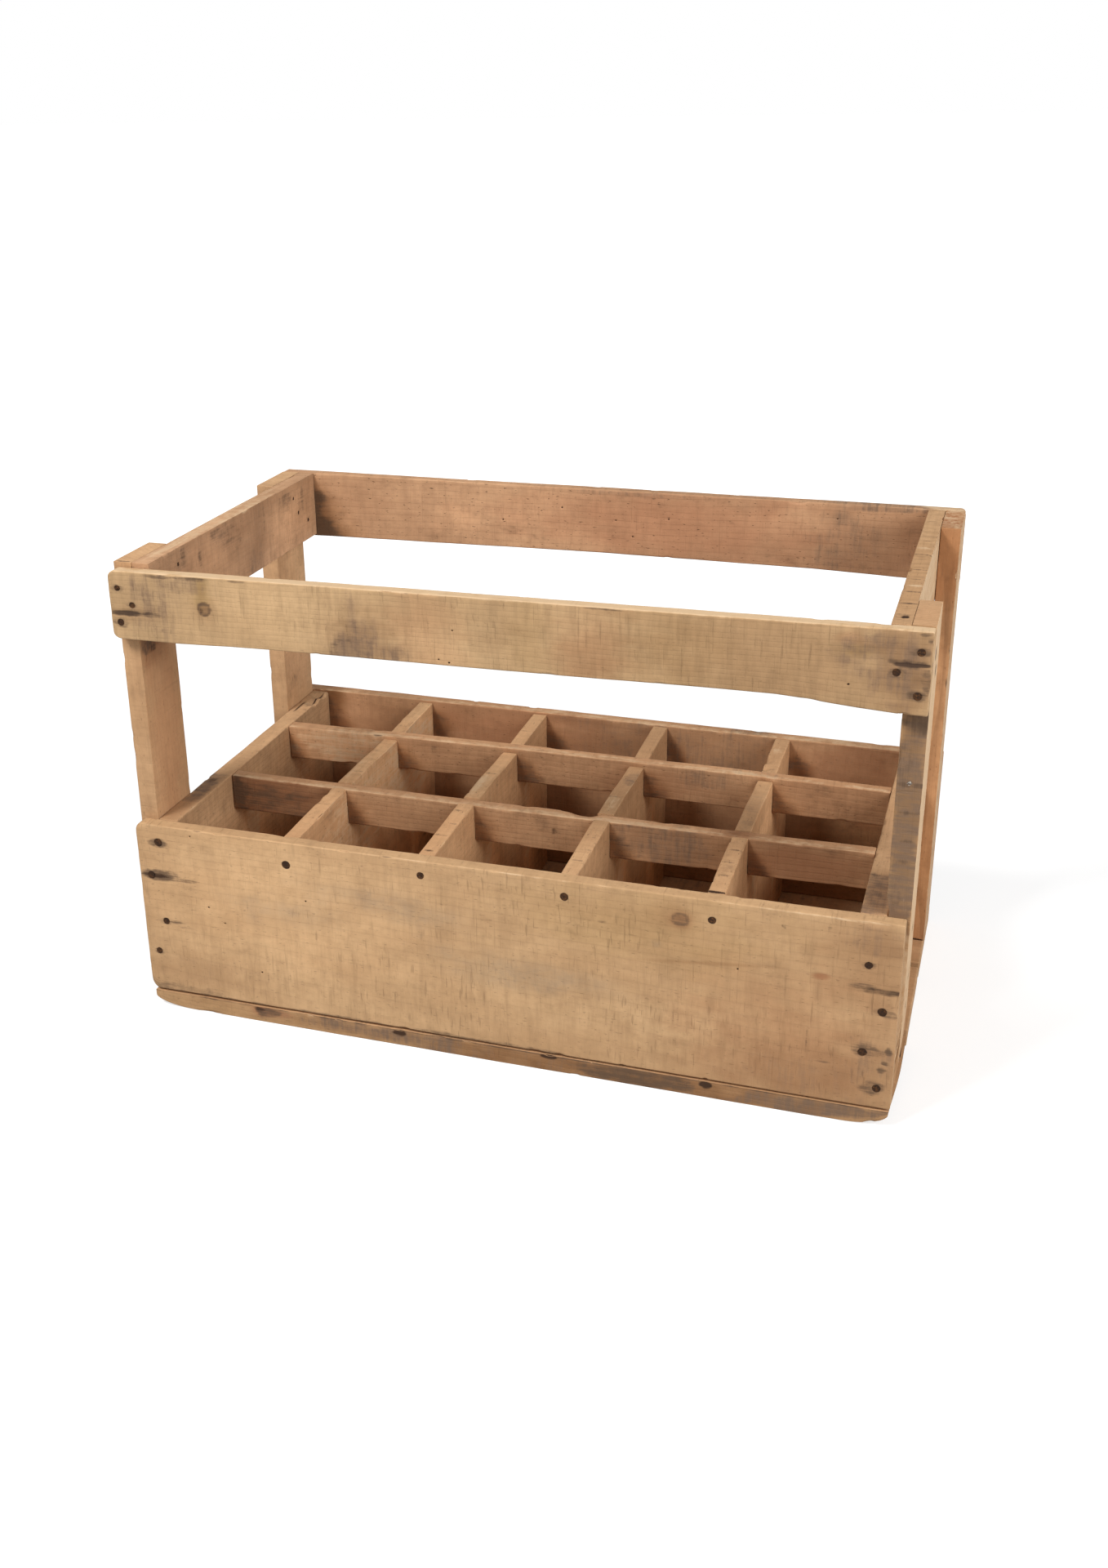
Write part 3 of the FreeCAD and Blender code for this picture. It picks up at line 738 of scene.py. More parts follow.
def noise(p, seed):
    """Smooth noise from -1 to 1 at each point."""
    base = np.floor(p).astype(np.int64)
    f = p - base
    f = f * f * (3 - 2 * f)
    total = np.zeros(len(p))
    for corner in np.ndindex(2, 2, 2):
        step = np.array(corner)
        weight = np.prod(np.where(step == 1, f, 1 - f), axis=1)
        total += weight * lattice(base + step, seed)
    return total


def rough_noise(p, seed):
    """Noise in finer and finer layers, each half as strong as the one before."""
    total = np.zeros(len(p))
    size = 1.0
    for layer in range(ROUGH_LAYERS):
        total += size * noise(p / size, seed + layer)
        size /= 2
    return total / ROUGH_TOTAL


def smooth_step(low, high, value):
    """From 0 at the first value to 1 at the second, with soft ends."""
    t = np.clip((value - low) / (high - low), 0, 1)
    return t * t * (3 - 2 * t)


def profile(shares, along):
    """Values of a table of places and values, read at the given places."""
    places, values = zip(*shares)
    return np.interp(along, places, values)


def grid_lines(low, high, step, wanted):
    """Cuts along one side of a board: the wanted ones, close ones near its ends, and even ones between."""
    even = np.linspace(low, high, max(1, round((high - low) / step)) + 1)
    ends = np.array(EDGE_STEPS)
    kept = [low, high]
    for value in np.concatenate([wanted, low + ends, high - ends, even]):
        if low < value < high and np.min(np.abs(np.array(kept) - value)) > CLOSEST_LINES:
            kept.append(value)
    return np.sort(kept)


def cut_box(xs, ys, zs):
    """Points and four-sided faces of a box's surface, cut along the given lines."""
    shape = (len(xs), len(ys), len(zs))
    i, j, k = np.indices(shape)
    outside = np.zeros(shape, dtype=bool)
    for place, count in zip((i, j, k), shape):
        outside |= (place == 0) | (place == count - 1)
    number = np.full(shape, -1)
    number[outside] = np.arange(outside.sum())
    points = np.stack([xs[i[outside]], ys[j[outside]], zs[k[outside]]], axis=1)
    sides = ((number[:, :, -1], False), (number[:, :, 0], True), (number[:, 0, :], False),
             (number[:, -1, :], True), (number[-1, :, :], False), (number[0, :, :], True))
    quads = []
    for g, turned in sides:
        q = np.stack([g[:-1, :-1], g[1:, :-1], g[1:, 1:], g[:-1, 1:]], axis=-1).reshape(-1, 4)
        quads.append(q[:, ::-1] if turned else q)
    return points, np.concatenate(quads)


def nail_spots(node, axis, place):
    """Middles of a nail group's heads that lie close to one plane."""
    points = np.array([v.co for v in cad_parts[node].data.vertices])
    near = points[np.abs(points[:, axis] - place) < HEAD_REACH]
    spots = []
    for p in near:
        for group in spots:
            if np.linalg.norm(group[0] - p) < NAIL_SPACING:
                group.append(p)
                break
        else:
            spots.append([p])
    return [(np.min(g, axis=0) + np.max(g, axis=0)) / 2 for g in spots]


class Board:
    """A worn board in place of a plain one: its points, their outward directions, and its stain marks with
    painted light and painted shade.
    """

    def __init__(self, node, seed, lines=((), (), ())):
        self.node = node
        self.seed = seed
        self.grain_axis, self.wood, nails = BOARDS[node]
        low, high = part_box(node)
        self.low = np.array(low)
        self.high = np.array(high)
        self.size = self.high - self.low
        self.spots = []
        self.looks = []
        for group, face in nails:
            heads = self.heads(group, face)
            self.spots += heads
            self.looks += [NAIL_SHARES.get(group, USUAL_NAIL_SHARES)] * len(heads)
        self.dots = [self.dot(*row) for row in DOT_SHARES.get(node, ())]
        step = FINE_STEP if node in FINE_BOARDS else COARSE_STEP
        cuts = []
        for axis in range(3):
            wanted = list(lines[axis])
            for places, offsets in ((self.spots, NAIL_LINES), (self.dots, DOT_LINES)):
                for spot, face_axis, side in places:
                    if axis != face_axis:
                        wanted += [spot[axis] + turn * d for d in offsets for turn in (-1, 1)]
            cuts.append(grid_lines(self.low[axis], self.high[axis], step, np.array(wanted)))
        self.flat, self.quads = cut_box(*cuts)
        self.share = (self.flat - self.low) / self.size
        self.stains_and_painted_light = {kind: np.zeros(len(self.flat)) for kinds in LAYERS.values() for kind in kinds}
        self.inward = np.zeros(len(self.flat))
        self.slotted = False
        self.ragged = self.grain_noise(RAGGED_PER_METRE, seed)
        self.fringe = self.grain_noise(FRINGE_PER_METRE, seed + 2)
        self.wander = rough_noise(self.flat * WANDER_PER_METRE, seed + 1)
        self.round_edges()

    def grain_noise(self, per_metre, seed):
        """Noise with its own fineness along the grain and across it."""
        scale = np.full(3, float(per_metre[1]))
        scale[self.grain_axis] = per_metre[0]
        return rough_noise(self.flat * scale, seed)

    def heads(self, group, face):
        """The heads of a nail group in one face, with the face's axis and side."""
        axis, side = FACES[face][:2]
        place = self.high[axis] if side > 0 else self.low[axis]
        return [(spot, axis, side) for spot in nail_spots(group, axis, place)]

    def dot(self, along, up):
        """A small hole in the front face, with the face's axis and side."""
        axis, side, along_axis, up_axis = FACES["front"]
        spot = self.low.copy()
        spot[along_axis] += along * self.size[along_axis]
        spot[up_axis] += up * self.size[up_axis]
        return spot, axis, side

    def round_edges(self):
        """Round the edges by an uneven radius, and note which way each point looks."""
        limit = EDGE_LIMIT_SHARE * np.min(self.size)
        usual = TIGHT_RADIUS if self.node in TIGHT_BOARDS else EDGE_RADIUS
        uneven = usual * (1 + EDGE_UNEVEN_SHARE * (self.ragged + self.wander))
        radius = np.clip(uneven, usual * EDGE_LEAST_SHARE, limit)[:, None]
        core = np.clip(self.flat, self.low + radius, self.high - radius)
        out = self.flat - core
        self.out = out / np.maximum(np.linalg.norm(out, axis=1, keepdims=True), MERGE_REACH)
        self.points = core + radius * self.out

    def stain(self, kind, mask):
        self.stains_and_painted_light[kind] = np.maximum(self.stains_and_painted_light[kind], mask)

    def sink(self, depths):
        self.inward = np.maximum(self.inward, depths)

    def mark(self, face, kind, along, up, half_long, half_high, strength, slope=0.0, lean=0.0):
        """A stain, patch of painted light, patch of painted shade, groove or chip with a ragged rim; places
        and half sizes are shares of the face.
        """
        axis, side, along_axis, up_axis = FACES[face]
        du = (self.share[:, along_axis] - along) * self.size[along_axis]
        dv = (self.share[:, up_axis] - up) * self.size[up_axis] - slope * du
        du = (du - lean * dv) / (half_long * self.size[along_axis])
        dv = dv / (half_high * self.size[up_axis])
        power = BLOCKY_POWER if kind in BLOCKY_KINDS else ROUND_POWER
        torn = self.fringe if kind in FRINGED_KINDS else self.ragged
        away = (np.abs(du) ** power + np.abs(dv) ** power) ** (1 / power) + RAGGED_SHARES[kind] * torn
        soft = SOFT_SHARES[kind]
        mask = strength * smooth_step(1 + soft / 2, 1 - soft, away)
        if kind == "chip":
            face_place = self.high[axis] if side > 0 else self.low[axis]
            depth = np.abs(self.flat[:, axis] - face_place)
            self.points[:, axis] -= side * CHIP_DEPTH * mask * smooth_step(CHIP_REACH, 0, depth)
            return
        mask = mask * smooth_step(*FACE_SHARES, side * self.out[:, axis])
        if kind == "knot":
            rim = smooth_step(*KNOT_RIM_SHARES, away)
            self.stain("umber", mask)
            self.stain("dirt", mask * (KNOT_CORE_SHARE + (1 - KNOT_CORE_SHARE) * rim))
            return
        if kind == "burl":
            ring = smooth_step(*BURL_OUTER_SHARES, away) * smooth_step(*BURL_INNER_SHARES, away)
            self.stain("umber", mask)
            self.stain("warm", BURL_WARM_SHARE * mask)
            self.stain("dirt", BURL_RING_SHARE * mask * ring)
            return
        self.stain(FRINGED_KINDS.get(kind, kind), mask)
        if kind == "groove":
            self.sink(GROOVE_DEPTH * mask)

    def mark_face(self, face, kinds):
        for kind, rows in kinds.items():
            for row in rows:
                self.mark(face, kind, *(value / PERCENT for value in row))

    def mark_all(self):
        """The board's own stain marks and painted light, those that it shares with other boards, and the
        painted shade in its cells.
        """
        for (node, face), kinds in MARK_PERCENT_SHARES.items():
            if node == self.node:
                self.mark_face(face, kinds)
        for face, nodes, kinds in SHARED_MARKS:
            if self.node in nodes:
                self.mark_face(face, kinds)
        if self.node in PAINTED_SHADE_WEDGES:
            lefts, (shift, *rest) = PAINTED_SHADE_WEDGES[self.node]
            for left in lefts:
                for kind, strength in PAINTED_SHADE_STRENGTHS.items():
                    self.mark("front", kind, left + shift, *rest, strength, 0, WEDGE_LEAN_SHARE)

    def knock_edges(self):
        """Small knocks at chance places along the long edges."""
        chance = np.random.default_rng(self.seed)
        run = self.grain_axis
        across = [axis for axis in range(3) if axis != run]
        for _ in range(round(KNOCKS_PER_METRE * self.size[run] * LONG_EDGES)):
            corner = np.where(chance.random(3) < 0.5, self.low, self.high)
            corner[run] = self.low[run] + chance.random() * self.size[run]
            reach = np.full(3, chance.uniform(*KNOCK_WIDE))
            reach[run] = chance.uniform(*KNOCK_LONG)
            depth = chance.uniform(*KNOCK_DEPTH)
            away = np.linalg.norm((self.flat - corner) / reach, axis=1) + KNOCK_RAGGED_SHARE * self.ragged
            hit = smooth_step(*KNOCK_RIM_SHARES, away)
            self.points[:, across] -= (depth * hit)[:, None] * self.out[:, across]
            kind = "pale" if chance.random() < KNOCK_PALE_SHARE else "dirt"
            self.stain(kind, KNOCK_STAIN_SHARE * hit * chance.random())

    def arch(self, height):
        """Bend the board upward, or downward, in an arc along its grain."""
        self.points[:, Z] += height * np.sin(np.pi * self.share[:, self.grain_axis])

    def shape_edge(self, side, lift):
        """Move the upper (1) or lower (-1) edge up by the given lengths, less towards the other edge."""
        share = self.share[:, Z] if side > 0 else 1 - self.share[:, Z]
        self.points[:, Z] += lift * smooth_step(*EDGE_FADE_SHARES, share)

    def round_corner(self, end, side, long, high):
        """Round the corner at one end (-1 or 1 along X) of the upper (1) or lower (-1) edge."""
        reach = self.flat[:, X] - self.low[X] if end < 0 else self.high[X] - self.flat[:, X]
        t = np.clip(1 - reach / long, 0, 1)
        arc = high * (1 - np.sqrt(1 - t * t))
        edge = self.high[Z] if side > 0 else self.low[Z]
        fade = min(CORNER_FADE_SHARE * high, self.size[Z])
        self.points[:, Z] -= side * arc * smooth_step(fade, 0, np.abs(self.flat[:, Z] - edge))

    def shape(self):
        """Run its edge unevenly, round its corners and do what else the board's place calls for."""
        if self.node in EDGE_SHARES:
            side, shares = EDGE_SHARES[self.node]
            self.shape_edge(side, self.size[Z] * profile(shares, self.share[:, self.grain_axis]))
        for corner in CORNERS.get(self.node, ()):
            self.round_corner(*corner)
        if self.node in SHAPES:
            SHAPES[self.node](self)

    def slot(self, axis, other, side):
        """Cut the upper (1) or lower (-1) half of a lap where another board crosses."""
        low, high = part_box(other)
        place = self.flat[:, axis]
        inside = (place > low[axis] - SLOT_ROOM) & (place < high[axis] + SLOT_ROOM)
        limit = np.minimum if side > 0 else np.maximum
        self.points[inside, Z] = limit(self.points[inside, Z], lap_height())
        self.slotted = True

    def around(self, spot, axis, side):
        """Whether each point lies on a face, its way from a spot there, and the face's two axes."""
        other = [a for a in range(3) if a != axis]
        on = side * self.out[:, axis] > ON_FACE_SHARE
        return on, self.flat[:, other] - spot[other], other

    def dent_nails(self):
        """Sink the wood round each nail head, with rust on the rim and a dirty halo along the grain."""
        stretch = np.ones(3)
        stretch[self.grain_axis] = HALO_STRETCH_SHARE
        for (spot, axis, side), (size, halo) in zip(self.spots, self.looks):
            on, away, other = self.around(spot, axis, side)
            torn = np.linalg.norm(away, axis=1) * (1 + NAIL_RAGGED_SHARE * self.ragged) / size
            self.sink(on * DENT_DEPTH * smooth_step(DENT_RADIUS, NAIL_RADIUS, torn))
            self.stain("rust", on * smooth_step(*RUST_REACH, torn))
            far = np.linalg.norm(away * stretch[other], axis=1) * (1 + HALO_RAGGED_SHARE * self.ragged)
            self.stain("dirt", halo * on * smooth_step(*HALO_REACH, far))
        outer, inner = DOT_RIM_SHARES
        for spot, axis, side in self.dots:
            on, away, _ = self.around(spot, axis, side)
            hole = on * smooth_step(outer * DOT_RADIUS, inner * DOT_RADIUS, np.linalg.norm(away, axis=1))
            self.sink(DOT_DEPTH * hole)
            self.stain("rust", hole)

    def wear_edges(self):
        """Rub the rounded edges pale, here and there."""
        bend = 1 - np.max(np.abs(self.out), axis=1)
        place = self.wander + WEAR_RAGGED_SHARE * self.ragged
        rub = smooth_step(*WEAR_BEND_SHARES, bend) * smooth_step(*WEAR_PLACE_SHARES, place)
        self.stain("pale", EDGE_WEAR_SHARE * rub)

    def finish(self, woods):
        """Wear the board, make its mesh with its stain marks, painted light and painted shade in layers, and
        put it in the plain board's place.
        """
        self.mark_all()
        self.knock_edges()
        self.dent_nails()
        self.wear_edges()
        dip = FACE_DIP * (1 + self.wander) / 2
        self.points -= self.out * (dip + self.inward)[:, None]
        self.points = np.clip(self.points, *(np.array(corner) for corner in cad_box))
        mesh = bpy.data.meshes.new("worn_" + self.node)
        mesh.from_pydata(self.points.tolist(), [], self.quads.tolist())
        order = [self.grain_axis] + [a for a in (Z, Y, X) if a != self.grain_axis]
        grain = self.flat[:, order] + np.array(GRAIN_OFFSETS) * (1 + self.seed)
        layer = mesh.attributes.new("grain", "FLOAT_VECTOR", "POINT")
        layer.data.foreach_set("vector", grain.astype(np.float32).ravel())
        for name, kinds in LAYERS.items():
            values = np.clip(np.stack([self.stains_and_painted_light[kind] for kind in kinds], axis=1), 0, 1)
            layer = mesh.attributes.new(name, "FLOAT_COLOR", "POINT")
            layer.data.foreach_set("color", values.astype(np.float32).ravel())
        if self.slotted:
            shell = bmesh.new()
            shell.from_mesh(mesh)
            bmesh.ops.remove_doubles(shell, verts=shell.verts, dist=MERGE_REACH)
            shell.to_mesh(mesh)
            shell.free()
        mesh.shade_smooth()
        mesh.set_sharp_from_angle(angle=SMOOTH_ANGLE)
        mesh.materials.append(woods[self.wood])
        obj = bpy.data.objects.new("worn_" + self.node, mesh)
        bpy.context.scene.collection.objects.link(obj)
        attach(obj, "root")
        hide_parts(self.node)


class Nodes:
    """Short ways to add and join shader nodes in one material or world."""

    def __init__(self, owner):
        owner.use_nodes = True
        self.owner = owner
        self.tree = owner.node_tree
        self.tree.nodes.clear()

    def add(self, kind, **values):
        node = self.tree.nodes.new(kind)
        for key, value in values.items():
            setattr(node, key, value)
        return node

    def fill(self, node, **values):
        """Join or set a node's inputs by name, with _ for a space."""
        for key, value in values.items():
            self.join(value, node.inputs[key.replace("_", " ")])
        return node

    def join(self, source, target):
        """Link a socket to another, or set a plain value there."""
        if isinstance(source, (int, float, tuple)):
            target.default_value = source
        else:
            self.tree.links.new(source, target)

    def math(self, operation, a, b=0.0, clamp=False):
        node = self.add("ShaderNodeMath", operation=operation, use_clamp=clamp)
        self.join(a, node.inputs[0])
        self.join(b, node.inputs[1])
        return node.outputs[0]

    def times(self, first, *others):
        """Product of sockets or plain values."""
        result = first
        for value in others:
            result = self.math("MULTIPLY", result, value)
        return result

    def total(self, sockets, weights):
        """Sum of named sockets, each times its weight."""
        result = 0.0
        for name, weight in weights.items():
            result = self.math("ADD", self.times(sockets[name], weight), result)
        return result

    def noise(self, vector, scale, detail, roughness):
        place = self.add("ShaderNodeVectorMath", operation="MULTIPLY")
        self.join(vector, place.inputs[0])
        self.join(scale, place.inputs[1])
        node = self.add("ShaderNodeTexNoise")
        self.fill(node, Vector=place.outputs[0], Scale=1.0, Detail=detail, Roughness=roughness)
        return node.outputs["Fac"]

    def span(self, value, low, high, out_low=0.0, out_high=1.0):
        node = self.add("ShaderNodeMapRange", interpolation_type="SMOOTHSTEP")
        self.fill(node, Value=value, From_Min=low, From_Max=high, To_Min=out_low, To_Max=out_high)
        return node.outputs["Result"]

    def mix(self, share, a, b, blend="MIX"):
        node = self.add("ShaderNodeMix", data_type="RGBA", blend_type=blend)
        inputs = {socket.identifier: socket for socket in node.inputs}
        outputs = {socket.identifier: socket for socket in node.outputs}
        self.join(share, inputs["Factor_Float"])
        self.join(a, inputs["A_Color"])
        self.join(b, inputs["B_Color"])
        return outputs["Result_Color"]

    def layer(self, name):
        """The four stains that a layer of the mesh holds."""
        node = self.add("ShaderNodeAttribute", attribute_name=name)
        parts = self.add("ShaderNodeSeparateColor")
        self.join(node.outputs["Color"], parts.inputs[0])
        return list(parts.outputs) + [node.outputs["Alpha"]]

    def surface(self, color, roughness, height, depth, **values):
        bump = self.fill(self.add("ShaderNodeBump"), Strength=1.0, Distance=depth, Height=height)
        shader = self.add("ShaderNodeBsdfPrincipled")
        self.fill(shader, Base_Color=color, Roughness=roughness, Normal=bump.outputs[0], **values)
        self.fill(self.add("ShaderNodeOutputMaterial"), Surface=shader.outputs[0])
        return self.owner


def shade(color, share):
    return tuple(c * share for c in color) + (1,)


def growth_rings(n, grain, wobble):
    """Late wood of rings round an axis off to one side of the board."""
    place = n.add("ShaderNodeSeparateXYZ")
    n.join(grain, place.inputs[0])
    u, v, w = place.outputs
    v = n.math("ADD", v, n.times(wobble, RING_WOBBLE))
    w = n.math("ADD", w, n.times(u, RING_LEAN_SHARE))
    off_v, off_w = (n.math("PINGPONG", value, offset) for value, offset in zip((v, w), RING_OFFSETS))
    reach = n.math("SQRT", n.math("ADD", n.times(off_v, off_v), n.times(off_w, off_w)))
    ring = n.math("FRACT", n.times(reach, RINGS_PER_METRE))
    return n.times(n.span(ring, *LATE_START_SHARES), n.span(ring, *LATE_END_SHARES))


def wood(name, light, deep, rings, fibres, bands, ticks, flecks, grime):
    """Old sawn softwood: growth rings, fibres, saw marks across the grain, flecks, and the board's stain
    marks, painted light and painted shade.
    """
    n = Nodes(bpy.data.materials.new(name))
    grain = n.add("ShaderNodeAttribute", attribute_name="grain").outputs["Vector"]
    stains_and_painted_light = {}
    for layer, kinds in LAYERS.items():
        stains_and_painted_light.update(zip(kinds, n.layer(layer)))
    noises = {}
    for kind, (along, across, detail, roughness) in WOOD_NOISES.items():
        noises[kind] = n.noise(grain, (along, across, across), detail, roughness)

    # Saw marks across the grain: soft bands, and thin lines and short ticks in patches
    band_share = n.math("ADD", n.times(stains_and_painted_light["saw"], SAWN_BAND_SHARE), bands, clamp=True)
    tick_share = n.math("ADD", n.times(stains_and_painted_light["saw"], SAWN_TICK_SHARE), ticks, clamp=True)
    line_patch = n.span(noises["patch"], *LINE_PATCH_SHARES)
    tick_patch = n.span(noises["patch"], *TICK_PATCH_SHARES)
    lines = n.times(n.span(noises["line"], *LINE_SHARES), line_patch, band_share)
    short = n.times(n.span(noises["tick"], *TICK_SHARES), tick_patch, tick_share)

    # Bare wood: tones laid one over the other, each as strong as this wood has it
    masks = {kind: n.span(noises[kind], *step) for kind, step in TONE_STEP_SHARES.items()}
    masks["late"] = growth_rings(n, grain, noises["wobble"])
    masks["cut"] = n.math("MAXIMUM", lines, short)
    amounts = {"late": rings, "streak": fibres, "fibre": fibres, "band": band_share, "fleck": flecks}
    base = n.mix(n.span(noises["cloud"], *CLOUD_SHARES), shade(deep, 1), shade(light, 1))
    for kind, (most, dark) in TONE_SHARES.items():
        base = n.mix(n.times(masks[kind], amounts.get(kind, 1.0), most), base, shade(deep, dark))
    base = n.mix(n.span(noises["blotch"], *GRIME_SHARES, 0.0, grime), base, STAIN_AND_PAINTED_LIGHT_COLORS["dirt"])
    # Washes multiply the wood: umber, olive and rose also lay painted shade, and bright lays painted light
    for kind, tint in WASH_AND_PAINTED_LIGHT_TINTS.items():
        base = n.mix(stains_and_painted_light[kind], base, tint, "MULTIPLY")

    # Broad stains, grey also as painted shadow, are streaked across the grain by the saw marks; others, dirt
    # also as painted shade and pale as painted light, are torn along it by the fibres
    across = n.span(n.total(noises, ACROSS_WEIGHT_SHARES), *ACROSS_SHARES)
    along = n.span(n.total(noises, ALONG_WEIGHT_SHARES), *ALONG_SHARES)
    left = n.math("SUBTRACT", stains_and_painted_light["grey"], n.times(across, GREY_TEAR_SHARE))
    grey = n.times(n.span(left, 0.0, GREY_FULL_SHARE), n.span(across, *GREY_THIN_SHARES))
    smudge = n.times(stains_and_painted_light["smudge"], n.span(noises["mottle"], *SMUDGE_SHARES))
    base = n.mix(n.times(stains_and_painted_light["warm"], WARM_SHARE), base, STAIN_AND_PAINTED_LIGHT_COLORS["warm"])
    base = n.mix(grey, base, STAIN_AND_PAINTED_LIGHT_COLORS["grey"])
    base = n.mix(smudge, base, STAIN_AND_PAINTED_LIGHT_COLORS["smudge"])
    for kind, (tear, full, most) in TORN_SHARES.items():
        left = n.math("SUBTRACT", stains_and_painted_light[kind], n.times(along, tear))
        base = n.mix(n.span(left, 0.0, full, 0.0, most), base, STAIN_AND_PAINTED_LIGHT_COLORS[kind])

    rough = n.span(noises["blotch"], *WOOD_ROUGH_SHARES)
    bumps = {**noises, "late": masks["late"], "cut": masks["cut"]}
    bumps["fibre"] = n.times(noises["fibre"], fibres)
    bumps["band"] = n.times(noises["band"], band_share)
    height = n.total(bumps, BUMP_SHARES)
    return n.surface(base, rough, height, WOOD_BUMP, Specular_IOR_Level=WOOD_SHINE_SHARE)


def steel_noise(n, per_metre, detail, roughness):
    place = n.add("ShaderNodeTexCoord").outputs["Object"]
    return n.noise(place, (per_metre, per_metre, per_metre), detail, roughness)


def rusty_steel(name):
    n = Nodes(bpy.data.materials.new(name))
    crust = steel_noise(n, *CRUST_NOISE)
    spots = steel_noise(n, *SPOT_NOISE)
    color = n.mix(n.span(crust, *RUST_SHARES), DARK_RUST, LIGHT_RUST)
    color = n.mix(n.span(spots, *SPOT_SHARES), color, SPOT_RUST)
    rough = n.span(crust, *RUST_ROUGH_SHARES)
    return n.surface(color, rough, crust, RUST_BUMP, Specular_IOR_Level=RUST_SHINE_SHARE)


def bright_steel(name):
    n = Nodes(bpy.data.materials.new(name))
    crust = steel_noise(n, *WORN_NOISE)
    color = n.mix(n.span(crust, *STEEL_SHARES), BARE_STEEL, STAINED_STEEL)
    rough = n.span(crust, *STEEL_ROUGH_SHARES)
    return n.surface(color, rough, crust, STEEL_BUMP, Metallic=STEEL_METAL_SHARE)


def lap_height():
    """Half way up the long dividers, where the crossing boards meet."""
    low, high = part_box(LONG_DIVIDERS[0])
    return (low[Z] + high[Z]) / 2


def slot_lines(axis, others):
    """Close cuts on both sides of each slot's walls, and one at its end."""
    lines = ([], [], [])
    for other in others:
        low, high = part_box(other)
        for wall in (low[axis] - SLOT_ROOM, high[axis] + SLOT_ROOM):
            lines[axis].extend((wall - SLOT_WALL, wall + SLOT_WALL))
    lines[Z].append(lap_height())
    return lines


def shape_front_rail(board):
    """An upper edge that sits low at the left end."""
    board.shape_edge(1, -RAIL_LEFT_DROP * (1 - board.share[:, X]))


def shape_front_board(board):
    """A trace shorter at the left than the plain board."""
    board.points[:, X] += BOARD_SHORT * smooth_step(*BOARD_END_SHARES, board.share[:, X])


def shape_right_end_rail(board):
    """A lower edge that sits lower than the plain board's."""
    board.shape_edge(-1, -RIGHT_RAIL_DROP)


def shape_front_left_post(board):
    """A little narrower than the others, from its back edge."""
    board.points[:, Y] -= NARROW_POST * smooth_step(0, 1, board.share[:, Y])


def shape_front_right_post(board):
    """A little thicker inwards where no other board touches the post."""
    low, high = POST_FREE_SHARES
    free = smooth_step(*low, board.share[:, Z]) * smooth_step(*high, board.share[:, Z])
    board.points[:, X] -= POST_SWELL * free * (1 - board.share[:, X])


def floor_reach(board):
    return FLOOR_RIGHT_REACH * smooth_step(*FLOOR_END_SHARES, board.share[:, X])


def shape_floor(board):
    """Reach a little further out at the right end than the plain board does."""
    board.points[:, X] += floor_reach(board)


def shape_floor_front(board):
    """Only the back part of the front floor board reaches out, and its top is low."""
    board.points[:, X] += floor_reach(board) * smooth_step(*FLOOR_BACK_SHARES, board.share[:, Y])
    board.shape_edge(1, -FLOOR_TOP_GAP)


def shape_cross_divider(board):
    """Slots from above for the long dividers."""
    for other in LONG_DIVIDERS:
        board.slot(Y, other, 1)


def shape_long_divider(board):
    """Slots from below for the cross dividers, and an arch."""
    for other in CROSS_DIVIDERS:
        board.slot(X, other, -1)
    board.arch(FRONT_DIVIDER_ARCH if board.node == LONG_DIVIDERS[0] else BACK_DIVIDER_ARCH)


SHAPES = {
    "front_rail": shape_front_rail,
    "front_board": shape_front_board,
    "right_end_rail": shape_right_end_rail,
    "front_left_post": shape_front_left_post,
    "front_right_post": shape_front_right_post,
    "floor_board_front": shape_floor_front,
    "floor_board_middle": shape_floor,
    "floor_board_back": shape_floor,
}
SHAPES.update({node: shape_cross_divider for node in CROSS_DIVIDERS})
SHAPES.update({node: shape_long_divider for node in LONG_DIVIDERS})


def make_boards():
    woods = {name: wood(name, *values) for name, values in WOODS.items()}
    for number, node in enumerate(BOARDS, 1):
        lines = ((), (), ())
        if node in CROSS_DIVIDERS:
            lines = slot_lines(Y, LONG_DIVIDERS)
        if node in LONG_DIVIDERS:
            lines = slot_lines(X, CROSS_DIVIDERS)
        board = Board(node, SEED_STEP * number, lines)
        board.shape()
        board.finish(woods)


def make_nails():
    """Rust on all nails but the stray one, which is rubbed bright."""
    steel = rusty_steel("rusty_steel")
    shiny = bright_steel("worn_steel")
    for node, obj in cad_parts.items():
        if "nail" in node:
            obj.data.materials.clear()
            obj.data.materials.append(shiny if node == "stray_nail" else steel)


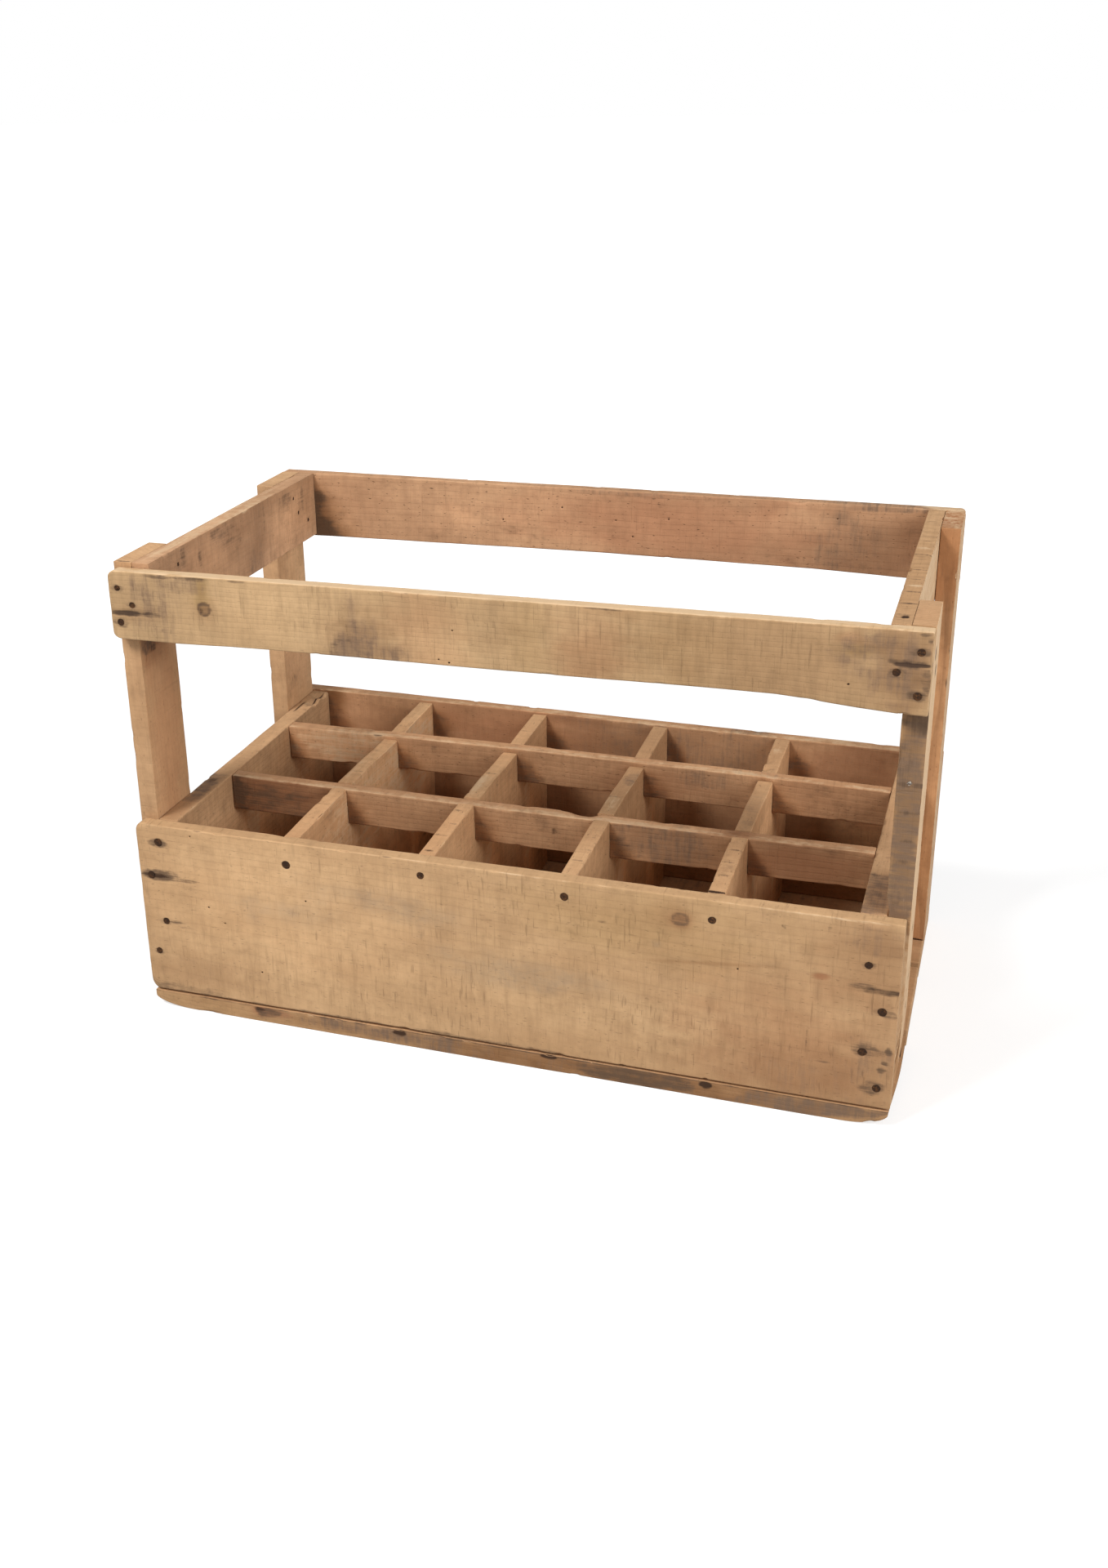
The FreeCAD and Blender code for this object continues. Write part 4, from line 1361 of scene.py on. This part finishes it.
def make_stage():
    """A pale floor, white to the camera, that keeps the crate's shadow."""
    n = Nodes(bpy.data.materials.new("pale_floor"))
    diffuse = n.fill(n.add("ShaderNodeBsdfDiffuse"), Color=FLOOR_COLOR)
    path = n.add("ShaderNodeLightPath")
    seen = n.math("MAXIMUM", path.outputs["Is Camera Ray"], path.outputs["Is Glossy Ray"])
    seen = n.math("MAXIMUM", seen, path.outputs["Is Transmission Ray"])
    away = n.add("ShaderNodeVectorMath", operation="LENGTH")
    n.join(n.add("ShaderNodeTexCoord").outputs["Object"], away.inputs[0])
    strength = n.span(away.outputs["Value"], *GLOW_REACH, FLOOR_NEAR_GLOW, 1.0)
    glow = n.fill(n.add("ShaderNodeEmission"), Strength=n.times(seen, strength))
    both = n.add("ShaderNodeAddShader")
    n.join(diffuse.outputs[0], both.inputs[0])
    n.join(glow.outputs[0], both.inputs[1])
    n.fill(n.add("ShaderNodeOutputMaterial"), Surface=both.outputs[0])
    bpy.ops.mesh.primitive_plane_add(size=FLOOR_SIZE)
    floor = bpy.context.object
    floor.name = "floor"
    floor.data.materials.append(n.owner)


def make_lamps():
    for name, (place, size, power) in LAMPS.items():
        lamp = bpy.data.lights.new(name, "AREA")
        lamp.size = size
        lamp.energy = power
        obj = bpy.data.objects.new(name, lamp)
        obj.location = place
        obj.rotation_euler = (Vector(LAMP_TARGET) - Vector(place)).to_track_quat("-Z", "Y").to_euler()
        bpy.context.scene.collection.objects.link(obj)


def make_world():
    """Soft light from all round, plain white where the camera sees it."""
    world = bpy.data.worlds.new("studio")
    bpy.context.scene.world = world
    n = Nodes(world)
    path = n.add("ShaderNodeLightPath")
    soft = n.fill(n.add("ShaderNodeBackground"), Color=WHITE, Strength=WORLD_STRENGTH)
    white = n.fill(n.add("ShaderNodeBackground"), Color=WHITE)
    mix = n.add("ShaderNodeMixShader")
    for number, source in enumerate((path.outputs["Is Camera Ray"], soft.outputs[0], white.outputs[0])):
        n.join(source, mix.inputs[number])
    n.fill(n.add("ShaderNodeOutputWorld"), Surface=mix.outputs[0])


def make_camera():
    camera = bpy.data.cameras.new("camera")
    longest = max(IMAGE_PIXELS)
    camera.sensor_width = SENSOR_MM
    camera.lens = FOCAL_PIXELS / longest * SENSOR_MM
    camera.shift_x = (IMAGE_PIXELS[0] / 2 - CENTRE_PIXELS[0]) / longest
    camera.shift_y = (CENTRE_PIXELS[1] - IMAGE_PIXELS[1] / 2) / longest
    obj = bpy.data.objects.new("camera", camera)
    turn = Matrix((CAMERA_RIGHT, -Vector(CAMERA_DOWN), -Vector(CAMERA_FORWARD))).transposed().to_4x4()
    obj.matrix_world = Matrix.Translation(CAMERA_PLACE) @ turn
    bpy.context.scene.collection.objects.link(obj)
    bpy.context.scene.camera = obj


make_boards()
make_nails()
make_stage()
make_lamps()
make_world()
make_camera()
bpy.context.scene.view_settings.view_transform = "Standard"
